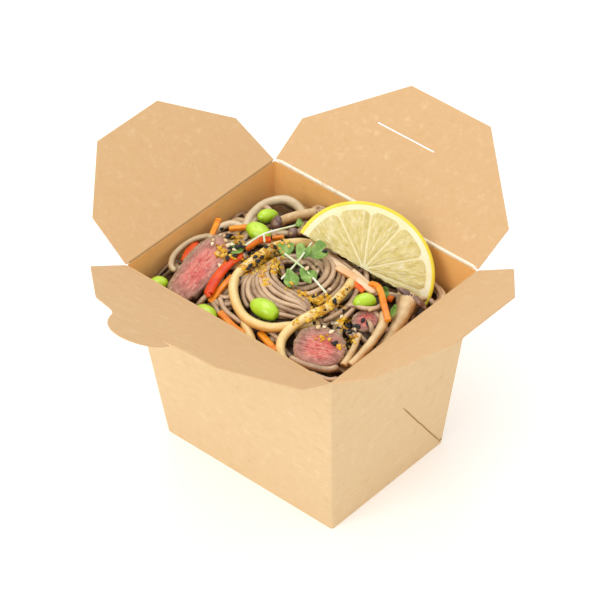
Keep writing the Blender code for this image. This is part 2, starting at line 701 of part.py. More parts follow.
def bean(name, centre, size, heading, tilt, collection, material):
    """A shelled soy bean: a ball stretched to length, width and height, a little kidney-shaped."""
    shape = bmesh.new()
    bmesh.ops.create_uvsphere(shape, u_segments=10, v_segments=7, radius=1.0)
    placing = (
        Matrix.Translation(metres(centre))
        @ Matrix.Rotation(math.radians(heading), 4, "Z") @ Matrix.Rotation(math.radians(tilt), 4, "Y")
    )
    for vert in shape.verts:
        local = Vector((vert.co.z, vert.co.x, vert.co.y))
        bend = 0.12 * (1.0 - local.x * local.x)
        stretched = (local.x * size[0] / 2.0, (local.y + bend) * size[1] / 2.0, local.z * size[2] / 2.0)
        vert.co = placing @ metres(stretched)
    face_outward(shape)
    obj = bmesh_object(name, shape, collection, material)
    smooth_round_parts(obj)
    return obj


def strip(name, points, width, thickness, collection, material):
    """A cut strip of vegetable: a flat band with rounded edges along its path."""
    path = smooth_path(points, STRIP_STEP)
    radius = thickness / 2.0
    obj = tube(name, path, [radius], collection, material, sides=1, flat=width / 2.0 - radius)
    smooth_round_parts(obj)
    return obj


def mushroom(name, stem, stem_radii, cap, collection, material):
    """A stem that tapers along its path, with an optional domed cap fused to its first end."""
    path = smooth_path(stem, STRIP_STEP)
    body = tube(name, path, tapered(path, *stem_radii), collection, material, sides=2)
    if cap:
        shape = bmesh.new()
        bmesh.ops.create_uvsphere(shape, u_segments=12, v_segments=6, radius=1.0)
        placing = frame_of(cap["centre"], cap["axis"], CAP_ALONG)
        for vert in shape.verts:
            height = cap["height"] if vert.co.z > 0.0 else cap["height"] * CAP_UNDERSIDE
            across = cap["radius"] * cap["narrow"]
            vert.co = placing @ metres((vert.co.x * cap["radius"], vert.co.y * across, vert.co.z * height))
        caps = new_collection(name + "_cap")
        bmesh_object(name + "_cap", shape, caps)
        body = joined(body, caps, "UNION")
    smooth_round_parts(body)
    return body


def leaf(centre, normal, along, length, width, collection):
    """A thin wavy leaf blade, widest past its middle, its two faces split into triangles alike."""
    shape = bmesh.new()
    bmesh.ops.create_grid(shape, x_segments=5, y_segments=2, size=1.0)
    placing = frame_of(centre, normal, along)
    for vert in shape.verts:
        t = (vert.co.x + 1.0) / 2.0
        half = width / 2.0 * math.sin(math.pi * (0.12 + 0.80 * t) ** 1.2) ** 0.7
        x = (t - 0.5) * length
        y = vert.co.y * half
        wave = 0.5 * math.cos(2.6 * math.pi * t) + 0.9 * (vert.co.y * half / width * 2.0) ** 2
        vert.co = placing @ metres((x, y, wave))
    bmesh.ops.triangulate(shape, faces=shape.faces)
    guide = bmesh_object("leaf_sheet", shape, collection)
    blade = guide.modifiers.new("blade", "SOLIDIFY")
    blade.thickness = LEAF_THICKNESS * MM
    blade.offset = 0.0
    return applied(guide, "leaf", collection)


def sprig(name, stems, leaves, collection, material):
    """Thin stems with leaves fused on, as one piece."""
    parts = new_collection(name + "_parts")
    for route in stems[1:]:
        tube("stem", smooth_path(route, STRAND_STEP), [STEM_RADIUS], parts, sides=0)
    for blade in leaves:
        leaf(*blade, parts)
    body = tube(name, smooth_path(stems[0], STRAND_STEP), [STEM_RADIUS], collection, material, sides=0)
    return joined(body, parts, "UNION")


def make_toppings(collection, colours):
    """Everything that lies on the noodles, as a list of objects."""
    pieces = []
    for name, cut in BEEF.items():
        pieces.append(slab(name, cut, collection, colours["beef"]))
    pieces.append(lemon_half("lemon_half", collection, colours["lemon"]))
    for name, (centre, size, heading, tilt) in BEANS.items():
        pieces.append(bean(name, centre, size, heading, tilt, collection, colours["green_bean"]))
    for name, (route, width) in PEPPERS.items():
        pieces.append(strip(name, route, width, PEPPER_THICKNESS, collection, colours["red_pepper"]))
    for name, (route, width) in CARROTS.items():
        pieces.append(strip(name, route, width, CARROT_THICKNESS, collection, colours["carrot"]))
    for name, (stem, radii, cap) in MUSHROOMS.items():
        pieces.append(mushroom(name, stem, radii, cap, collection, colours["mushroom"]))
    for name, (stems, leaves) in SPRIGS.items():
        pieces.append(sprig(name, stems, leaves, collection, colours["greens"]))
    for name, blade in HERB_LEAVES.items():
        piece = leaf(*blade, collection)
        piece.name = name
        piece.data.materials.append(colours["greens"])
        pieces.append(piece)
    return pieces


def main():
    clear_scene()
    box = new_collection("noodle_takeaway_box")
    cutters = new_collection("cutters")
    colours = {name: new_material(name, *finish) for name, finish in FINISHES.items()}
    kraft = colours["kraft_board"]

    make_tray(box, kraft)
    quarter = math.pi / 2.0
    make_flap("flap_left", "left", quarter, SIDE_FLAP, RIM_HALF[1], box, kraft)
    make_flap("flap_right", "right", -quarter, SIDE_FLAP, RIM_HALF[1], box, kraft)
    make_flap("flap_front", "front", math.pi, FRONT_FLAP, RIM_HALF[0], box, kraft, tab=True)
    back = make_flap("flap_back", "back", 0.0, BACK_FLAP, RIM_HALF[0], box, kraft)
    cut_slot(back, cutters)

    toppings = make_toppings(box, colours)
    make_noodles(box, colours["noodle"], toppings)


main()
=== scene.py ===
# Noodle takeaway box: kraft board, four open flaps, and everything that fills it.
# Sizes are in millimetres until the last step; mm turns them into Blender's metres.

import math
import random

import bpy
from mathutils import Matrix, Vector, noise


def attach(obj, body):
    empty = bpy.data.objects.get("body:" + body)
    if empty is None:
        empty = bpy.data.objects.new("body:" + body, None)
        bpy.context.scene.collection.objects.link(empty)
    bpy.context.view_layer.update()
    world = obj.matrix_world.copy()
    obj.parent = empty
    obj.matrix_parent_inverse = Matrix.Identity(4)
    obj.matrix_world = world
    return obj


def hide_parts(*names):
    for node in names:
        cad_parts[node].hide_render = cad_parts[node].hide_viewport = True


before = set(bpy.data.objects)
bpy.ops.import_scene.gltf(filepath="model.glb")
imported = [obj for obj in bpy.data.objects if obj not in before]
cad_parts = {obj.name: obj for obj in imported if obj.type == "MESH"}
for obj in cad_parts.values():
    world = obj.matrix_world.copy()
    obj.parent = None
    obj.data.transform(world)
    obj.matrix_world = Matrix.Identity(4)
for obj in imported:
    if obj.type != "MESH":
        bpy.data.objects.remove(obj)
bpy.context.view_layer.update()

mm = 0.001
print("stage: frame loaded")


# Camera, light and floor

view = {
    "place": (0.87731, -0.96286, 1.19796),   # metres
    "right": (0.7472, 0.6644, -0.0150),
    "up": (-0.4240, 0.4939, 0.7592),
    "back": (0.5118, -0.5609, 0.6507),
    "lens": 232.6,
}

light = {
    "sky": (1.0, 1.0, 1.0),
    "skyStrength": 0.78,
    # name: (place in metres, size, watts, colour)
    "lamps": {
        "softboxFront": ((-0.10, -1.25, 1.15), 0.9, 8.5, (1.0, 0.985, 0.96)),
        "softboxTop": ((-0.35, 0.25, 1.35), 0.8, 4.5, (1.0, 0.99, 0.97)),
        "softboxRight": ((1.25, -0.10, 0.75), 0.8, 1.0, (1.0, 0.99, 0.98)),
    },
}


def addCamera():
    bpy.ops.object.camera_add()
    camera = bpy.context.object
    camera.name = "camera"
    turn = Matrix((view["right"], view["up"], view["back"])).transposed().to_4x4()
    camera.matrix_world = Matrix.Translation(view["place"]) @ turn
    camera.data.lens = view["lens"]
    camera.data.sensor_width = 36.0
    camera.data.clip_start = 0.05
    bpy.context.scene.camera = camera


def addLights():
    world = bpy.data.worlds.new("studio")
    world.use_nodes = True
    sky = world.node_tree.nodes["Background"]
    sky.inputs["Color"].default_value = (*light["sky"], 1.0)
    sky.inputs["Strength"].default_value = light["skyStrength"]
    bpy.context.scene.world = world
    for name, (place, size, watts, colour) in light["lamps"].items():
        aim = (Vector((0.0, 0.0, 0.08)) - Vector(place)).to_track_quat("-Z", "Y")
        bpy.ops.object.light_add(type="AREA", location=place, rotation=aim.to_euler())
        lamp = bpy.context.object
        lamp.name = name
        lamp.data.shape = "SQUARE"
        lamp.data.size = size
        lamp.data.energy = watts
        lamp.data.color = colour


# Shader maths

class Wire:
    # a socket that takes part in sums: an expression on wires adds its Math nodes
    def __init__(self, paint, socket):
        self.paint = paint
        self.socket = socket

    def maths(self, operation, first, second):
        return self.paint.node("ShaderNodeMath", {"operation": operation}, {0: first, 1: second})

    def __add__(self, other):
        return self.maths("ADD", self, other)

    def __radd__(self, other):
        return self.maths("ADD", other, self)

    def __sub__(self, other):
        return self.maths("SUBTRACT", self, other)

    def __rsub__(self, other):
        return self.maths("SUBTRACT", other, self)

    def __mul__(self, other):
        return self.maths("MULTIPLY", self, other)

    def __rmul__(self, other):
        return self.maths("MULTIPLY", other, self)


def pick(sockets, key):
    # a socket by its number, its identifier or its name
    if isinstance(key, int):
        return sockets[key]
    for socket in sockets:
        if socket.identifier == key:
            return socket
    return sockets[key]


class Paint:
    # a material in the making; constant values go straight on the shader's own sockets
    def __init__(self, name, constants):
        self.material = bpy.data.materials.new(name)
        self.material.use_nodes = True
        self.tree = self.material.node_tree
        self.shader = self.tree.nodes["Principled BSDF"]
        for key, value in constants.items():
            self.shader.inputs[key].default_value = value

    def node(self, kind, settings=None, sockets=None, output=0):
        made = self.tree.nodes.new(kind)
        for key, value in (settings or {}).items():
            if key == "stops":
                self.setStops(made.color_ramp, value)
            else:
                setattr(made, key, value)
        for key, value in (sockets or {}).items():
            self.feed(pick(made.inputs, key), value)
        return Wire(self, pick(made.outputs, output))

    def feed(self, socket, value):
        if isinstance(value, Wire):
            self.tree.links.new(value.socket, socket)
        elif socket.type == "RGBA" and len(value) == 3:
            socket.default_value = (*value, 1.0)
        else:
            socket.default_value = value

    def setStops(self, ramp, stops):
        while len(ramp.elements) < len(stops):
            ramp.elements.new(0.5)
        for element, (place, colour) in zip(ramp.elements, stops):
            element.position = place
            element.color = (*colour, 1.0)

    def place(self):
        return self.node("ShaderNodeTexCoord", output="Object")

    def normal(self):
        return self.parts(self.node("ShaderNodeNewGeometry", output="Normal"))

    def attribute(self, name):
        return self.node("ShaderNodeAttribute", {"attribute_name": name}, output="Fac")

    def parts(self, vector):
        split = self.node("ShaderNodeSeparateXYZ", sockets={0: vector}).socket.node
        return [Wire(self, split.outputs[axis]) for axis in range(3)]

    def stretched(self, vector, scale, turn=(0.0, 0.0, 0.0)):
        return self.node("ShaderNodeMapping", {"vector_type": "POINT"},
                         {"Vector": vector, "Scale": scale, "Rotation": turn})

    def speckle(self, vector, scale, detail=2.0, roughness=0.5, distortion=0.0):
        return self.node("ShaderNodeTexNoise", sockets={
            "Vector": vector, "Scale": scale, "Detail": detail,
            "Roughness": roughness, "Distortion": distortion}, output="Fac")

    def cells(self, vector, scale, feature="F1"):
        return self.node("ShaderNodeTexVoronoi", {"feature": feature},
                         {"Vector": vector, "Scale": scale}, "Distance")

    def between(self, value, low, high):
        # 0 below low, 1 above high, smooth between; low may be the larger one
        return self.node("ShaderNodeMapRange", {"interpolation_type": "SMOOTHSTEP", "clamp": True}, {
            "Value": value, "From Min": low, "From Max": high, "To Min": 0.0, "To Max": 1.0})

    def mix(self, factor, first, second):
        return self.node("ShaderNodeMix", {"data_type": "RGBA", "clamp_factor": True}, {
            "Factor_Float": factor, "A_Color": first, "B_Color": second}, "Result_Color")

    def ramp(self, value, stops):
        return self.node("ShaderNodeValToRGB", {"stops": stops}, {"Fac": value}, "Color")

    def finish(self, colour, roughness, height=None, relief=0.2, strength=1.0):
        # height is in parts of relief, which is in millimetres
        self.feed(self.shader.inputs["Base Color"], colour)
        self.feed(self.shader.inputs["Roughness"], roughness)
        if height is not None:
            bumped = self.node("ShaderNodeBump", sockets={
                "Height": height, "Distance": relief * mm, "Strength": strength}, output="Normal")
            self.feed(self.shader.inputs["Normal"], bumped)
        return self.material


def foodPaint(name, glow, glowColour, glowDepth, coat, coatRoughness, specular):
    # moist food: light enters it to a depth in millimetres, and a thin wet coat lies over it
    return Paint(name, {
        "Subsurface Weight": glow, "Subsurface Radius": glowColour, "Subsurface Scale": glowDepth * mm,
        "Coat Weight": coat, "Coat Roughness": coatRoughness, "Specular IOR Level": specular})


# Kraft board

kraft = {
    "outside": (0.745, 0.530, 0.285),
    # inside: partly the board's own inner tone, partly painted light: brighter and more orange to stand in
    # for the bounce light on the inner walls
    "inside": (0.980, 0.540, 0.170),
    "flap": (0.695, 0.440, 0.215),
    "grain": 0.110,          # how far a fibre's tone strays
    "wallMottle": 0.13,      # how cloudy the board is
    "flapMottle": 0.12,
    "roughness": 0.72,
    "fleck": (0.50, 0.30, 0.13),
    # crease: the back bead's near-white colour, a painted highlight along the fold
    "crease": (0.97, 0.88, 0.72),
    # creaseTan: a little darker than the flap, a painted shade in the other folds
    "creaseTan": (0.66, 0.43, 0.21),
    # the two browns below: painted shadow along the gusset's raised edge and its notch
    "shadowLineDark": (0.32, 0.17, 0.06),
    "shadowLinePale": (0.46, 0.27, 0.11),
    # how finely the fibres vary along X, Y and Z; they run along the axes with small numbers
    "wallFibres": (150.0, 150.0, 620.0),
    "flapFibres": {
        "left": (380.0, 380.0, 420.0), "right": (620.0, 110.0, 620.0),
        "front": (110.0, 620.0, 620.0), "back": (380.0, 380.0, 420.0),
    },
}


def kraftPaint(name, fibreScale, insideColour, outsideColour, mottle):
    paint = Paint(name, {"Specular IOR Level": 0.25, "Sheen Weight": 0.08, "Sheen Roughness": 0.6})
    place = paint.place()
    fibres = paint.speckle(paint.stretched(place, fibreScale), 1.0, 4.0, 0.62)
    fine = paint.speckle(place, 1500.0, 3.0, 0.65)
    clouds = paint.speckle(place, 210.0, 3.0, 0.55)
    broad = paint.speckle(place, 16.0, 2.0, 0.5)
    finer = tuple(1.5 * part for part in fibreScale)
    slivers = paint.speckle(paint.stretched(place, finer), 1.0, 2.0, 0.5, 0.8)
    dark = paint.between(slivers, 0.655, 0.74)
    pale = paint.between(slivers, 0.345, 0.26)
    x, y = paint.parts(place)[:2]
    nx, ny = paint.normal()[:2]
    outward = paint.between(nx * x + ny * y, -0.002, 0.002)
    # inner faces take the inside colour, which carries painted bounce light; outer faces take the outside
    # colour
    base = paint.mix(outward, insideColour, outsideColour)
    tone = (fibres - 0.5) * kraft["grain"] * 4.0 + (clouds - 0.5) * mottle * 3.0
    tone = tone + (fine - 0.5) * 0.16 + (broad - 0.5) * 0.10
    base = paint.mix(paint.between(tone, 0.0, 0.50), base, (1.0, 0.80, 0.55))
    base = paint.mix(paint.between(tone, 0.0, -0.42), base, (0.60, 0.33, 0.13))
    base = paint.mix(dark * 0.26, base, kraft["fleck"])
    base = paint.mix(pale * 0.12, base, (0.95, 0.80, 0.58))
    height = fibres * 0.6 + fine * 0.4 + dark * -0.3
    return paint.finish(base, (fine - 0.5) * 0.1 + kraft["roughness"], height, 0.06, 0.55)


def dressBoard():
    inside, outside, flap = kraft["inside"], kraft["outside"], kraft["flap"]
    paints = {"tray": kraftPaint("kraft_walls", kraft["wallFibres"], inside, outside, kraft["wallMottle"])}
    for side, fibres in kraft["flapFibres"].items():
        paints["flap_" + side] = kraftPaint("kraft_flap_" + side, fibres, flap, flap, kraft["flapMottle"])
    for name, material in paints.items():
        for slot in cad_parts[name].material_slots:
            slot.material = material


def addFloor():
    bpy.ops.mesh.primitive_plane_add(size=14.0, location=(0.0, 0.0, 0.0))
    floor = bpy.context.object
    floor.name = "floor"
    paint = Paint("floor", {"Specular IOR Level": 0.1, "Emission Color": (1.0, 1.0, 1.0, 1.0),
                            "Emission Strength": 0.22})
    floor.data.materials.append(paint.finish(paint.ramp(paint.speckle(paint.place(), 3.0), [
        (0.0, (0.93, 0.93, 0.93)), (1.0, (0.95, 0.95, 0.95))]), 0.9))


# Folds: a rounded bead along each hinge, and the glued edge that shows on the side walls

folds = {
    "reach": {"left": 60.55, "right": 60.55, "front": 49.55, "back": 49.55},
    "height": 100.55,
    "half": {"left": 48.5, "right": 47.6, "front": 58.6, "back": 58.6},
    "thick": {"left": 0.86, "right": 0.60, "front": 0.60, "back": 0.80},
    "pinch": 1.2,            # each bead narrows over this length at its ends
    "gusset": ((50.36, 35.0, 3.2), (54.62, 4.8, 46.2)),
    "gussetWidth": 0.55,
    "gussetRise": 0.30,
    "wallNormal": (100.0, 0.0, -10.0),
    # the notch at the gusset's foot: where it is, its run, its width and its rise
    "notch": ((0.02, 0.9, -0.5), (0.0, 1.9, 0.45), (0.05, 0.25, 0.5), 0.28),
}


def only(piece):
    bpy.ops.object.select_all(action="DESELECT")
    piece.select_set(True)
    bpy.context.view_layer.objects.active = piece


def reshape(piece, move):
    # moves every vertex by a rule; the rule is given and returns millimetres
    for vertex in piece.data.vertices:
        vertex.co = Vector(move(vertex.co / mm)) * mm


def standing(centre, normal, along):
    # a placing in millimetres: Z is the normal and X runs along the given way
    up = Vector(normal).normalized()
    side = up.cross(Vector(along)).normalized()
    turn = Matrix((side.cross(up), side, up)).transposed().to_4x4()
    return Matrix.Translation(centre) @ turn


def joinAll(pieces, name):
    bpy.ops.object.select_all(action="DESELECT")
    for piece in pieces:
        piece.select_set(True)
    bpy.context.view_layer.objects.active = pieces[0]
    bpy.ops.object.join()
    whole = bpy.context.object
    whole.name = name
    whole.data.name = name
    return whole


def attributeFrom(piece, name, values):
    made = piece.data.attributes.new(name, "FLOAT", "POINT")
    made.data.foreach_set("value", values)


def closeUp(piece, smoothAngle):
    # merges seams, turns the faces outwards and smooths
    only(piece)
    bpy.ops.object.mode_set(mode="EDIT")
    bpy.ops.mesh.select_all(action="SELECT")
    bpy.ops.mesh.remove_doubles(threshold=0.00001)
    bpy.ops.mesh.normals_make_consistent(inside=False)
    bpy.ops.object.mode_set(mode="OBJECT")
    bpy.ops.object.shade_smooth_by_angle(angle=math.radians(smoothAngle))


def solidify(piece, thickness, offset):
    bpy.ops.object.modifier_add(type="SOLIDIFY")
    piece.modifiers["Solidify"].thickness = thickness * mm
    piece.modifiers["Solidify"].offset = offset
    bpy.ops.object.modifier_apply(modifier="Solidify")


def served(piece, slot, material, *nodes):
    # the last step of every piece: its paint, its body and the nodes it stands for
    piece.data.materials.clear()
    piece.data.materials.append(material)
    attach(piece, "box")
    if nodes:
        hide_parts(*nodes)


def makeFolds():
    for side, reach in folds["reach"].items():
        half = folds["half"][side]
        thick = folds["thick"][side]
        bpy.ops.mesh.primitive_cylinder_add(vertices=14, radius=thick * mm, depth=2.0 * half * mm)
        bead = bpy.context.object
        only(bead)
        bpy.ops.object.mode_set(mode="EDIT")
        bpy.ops.mesh.select_all(action="DESELECT")
        bpy.ops.object.mode_set(mode="OBJECT")
        for edge in bead.data.edges:
            ends = [bead.data.vertices[index].co.z for index in edge.vertices]
            edge.select = abs(ends[0] - ends[1]) > half * mm
        bpy.ops.object.mode_set(mode="EDIT")
        bpy.ops.mesh.subdivide(number_cuts=48)
        bpy.ops.object.mode_set(mode="OBJECT")
        alongX = side in ("front", "back")
        sign = -1.0 if side in ("left", "front") else 1.0

        def lay(spot):
            run = spot.z
            end = max(0.0, min(1.0, (half - abs(run)) / folds["pinch"]))
            pinch = (0.55 + 0.45 * math.sqrt(end)) * (1.0 + 0.10 * noise.noise((run * 0.13, reach, 0.0)))
            out, up = spot.x * pinch, spot.y * pinch
            if alongX:
                return (run, sign * reach + out, folds["height"] + up)
            return (sign * reach + out, run, folds["height"] + up)

        reshape(bead, lay)
        closeUp(bead, 50.0)
        bead.name = "crease_" + side
        served(bead, "kraft_board", creasePaint(side))


def creasePaint(side):
    # the back bead is painted with a highlight along its fold, the others with a little painted shade; the
    # noise mixes in the flap's own colour
    beadColour = kraft["crease"] if side == "back" else kraft["creaseTan"]
    paint = Paint("crease_" + side, {"Specular IOR Level": 0.2})
    place = paint.place()
    breakup = paint.speckle(place, 420.0, 3.0, 0.6)
    colour = paint.mix(paint.between(breakup, 0.54, 0.74) * 0.7, beadColour, kraft["flap"])
    return paint.finish(colour, 0.75, breakup, 0.05, 0.5)


def makeGussets():
    # the thin edge of the folded gusset, seen through the side wall as a raised line, painted dark as the
    # shadow along it
    foot, head = [Vector(end) for end in folds["gusset"]]
    run = head - foot
    outward = Vector(folds["wallNormal"]).normalized()
    across = run.normalized().cross(outward)
    notchPlace, notchRun, notchWidth = [Vector(part) for part in folds["notch"][:3]]
    notchRise = folds["notch"][3]
    lines = []
    for turned in (1.0, -1.0):
        bpy.ops.mesh.primitive_cube_add(size=mm)
        line = bpy.context.object
        only(line)
        bpy.ops.object.mode_set(mode="EDIT")
        bpy.ops.mesh.subdivide(number_cuts=12)
        bpy.ops.object.mode_set(mode="OBJECT")

        def lay(spot):
            t = spot.x + 0.5
            taper = min(1.0, t / 0.05 + 0.35, (1.0 - t) / 0.06 + 0.2)
            middle = foot + run * t + across * 0.25 * noise.noise((t * 9.0, 1.7, 0.0))
            place = middle + across * spot.y * folds["gussetWidth"] * taper
            place += outward * (spot.z * folds["gussetRise"] + 0.02)
            return (turned * place.x, turned * place.y, place.z)

        reshape(line, lay)
        lines.append(line)
        # the little notch at the foot, where the gusset's corner shows
        bpy.ops.mesh.primitive_cube_add(size=mm)
        notch = bpy.context.object

        def layNotch(spot):
            place = foot + notchPlace + outward * (spot.z * notchRise)
            place += notchRun * spot.x + notchWidth * spot.y
            return (turned * place.x, turned * place.y, place.z)

        reshape(notch, layNotch)
        lines.append(notch)
    edge = joinAll(lines, "gusset_edges")
    closeUp(edge, 40.0)
    paint = Paint("gusset_edge", {"Specular IOR Level": 0.2})
    tone = paint.speckle(paint.place(), 700.0, 2.0)
    # dark and pale browns mixed by noise: painted shadow along the raised edge
    colour = paint.mix(tone, kraft["shadowLineDark"], kraft["shadowLinePale"])
    served(edge, "kraft_board", paint.finish(colour, 0.8, tone, 0.04, 0.4))


# The heap that everything lies on

heap = {
    "rim": (60.0, 49.0),
    "edge": 89.0,
    "rise": 12.0,
    "cornerDrop": 9.0,
    # rises that carry the larger toppings: plan place, radius, height
    "mounds": [
        (-24.0, -20.0, 15.0, 4.0), (-30.0, 4.0, 14.0, 1.5), (27.0, -16.0, 12.0, 2.6),
        (43.0, -2.0, 16.0, 5.0), (-42.0, 28.0, 13.0, 2.6), (34.0, 8.0, 12.0, 1.5),
    ],
    "nest": (5.0, -11.0),
    "nestCrest": 12.0,
    "nestRise": 2.4,
    "nestSlope": 6.5,
    "nestEdge": 21.0,
    "hollow": (1.2, -6.6),
    "hollowRadius": 9.5,
    "hollowDepth": 9.0,
    "sink": 3.2,         # how far the loose noodles sink towards the walls
}


def lerp(first, second, t):
    return first + (second - first) * t


def smoothStep(value, low, high):
    t = max(0.0, min(1.0, (value - low) / (high - low)))
    return t * t * (3.0 - 2.0 * t)


def heapHeight(x, y):
    across = max(-1.0, min(1.0, x / heap["rim"][0]))
    along = max(-1.0, min(1.0, y / heap["rim"][1]))
    dome = (1.0 - across * across) * (1.0 - along * along)
    corner = max(0.0, (across + along) / 2.0) ** 2
    height = heap["edge"] + heap["rise"] * dome ** 0.7 - heap["cornerDrop"] * corner
    for moundX, moundY, radius, rise in heap["mounds"]:
        part = math.hypot(x - moundX, y - moundY) / radius
        if part < 1.0:
            height += rise * (1.0 - part * part) ** 2
    return height


def nestHeight(radius):
    offset = (radius - heap["nestCrest"]) / heap["nestCrest"]
    return heapHeight(*heap["nest"]) + heap["nestRise"] - heap["nestSlope"] * offset * offset


def topHeight(x, y):
    # the noodles' upper surface, nest included
    height = heapHeight(x, y)
    radius = math.hypot(x - heap["nest"][0], y - heap["nest"][1])
    if radius < heap["nestEdge"]:
        height = nestHeight(radius) if radius < 5.0 else max(height, nestHeight(radius))
    return height


def hollowDrop(x, y):
    # how much lower the strands lie inside the twirl's dark hollow
    part = math.hypot(x - heap["hollow"][0], y - heap["hollow"][1]) / heap["hollowRadius"]
    return heap["hollowDepth"] * (1.0 - part * part) ** 2 if part < 1.0 else 0.0


def wallReach(z):
    # inner half sizes of the box at a height
    part = z / 100.0
    return 50.0 + 10.0 * part - 0.5, 38.0 + 11.0 * part - 0.5


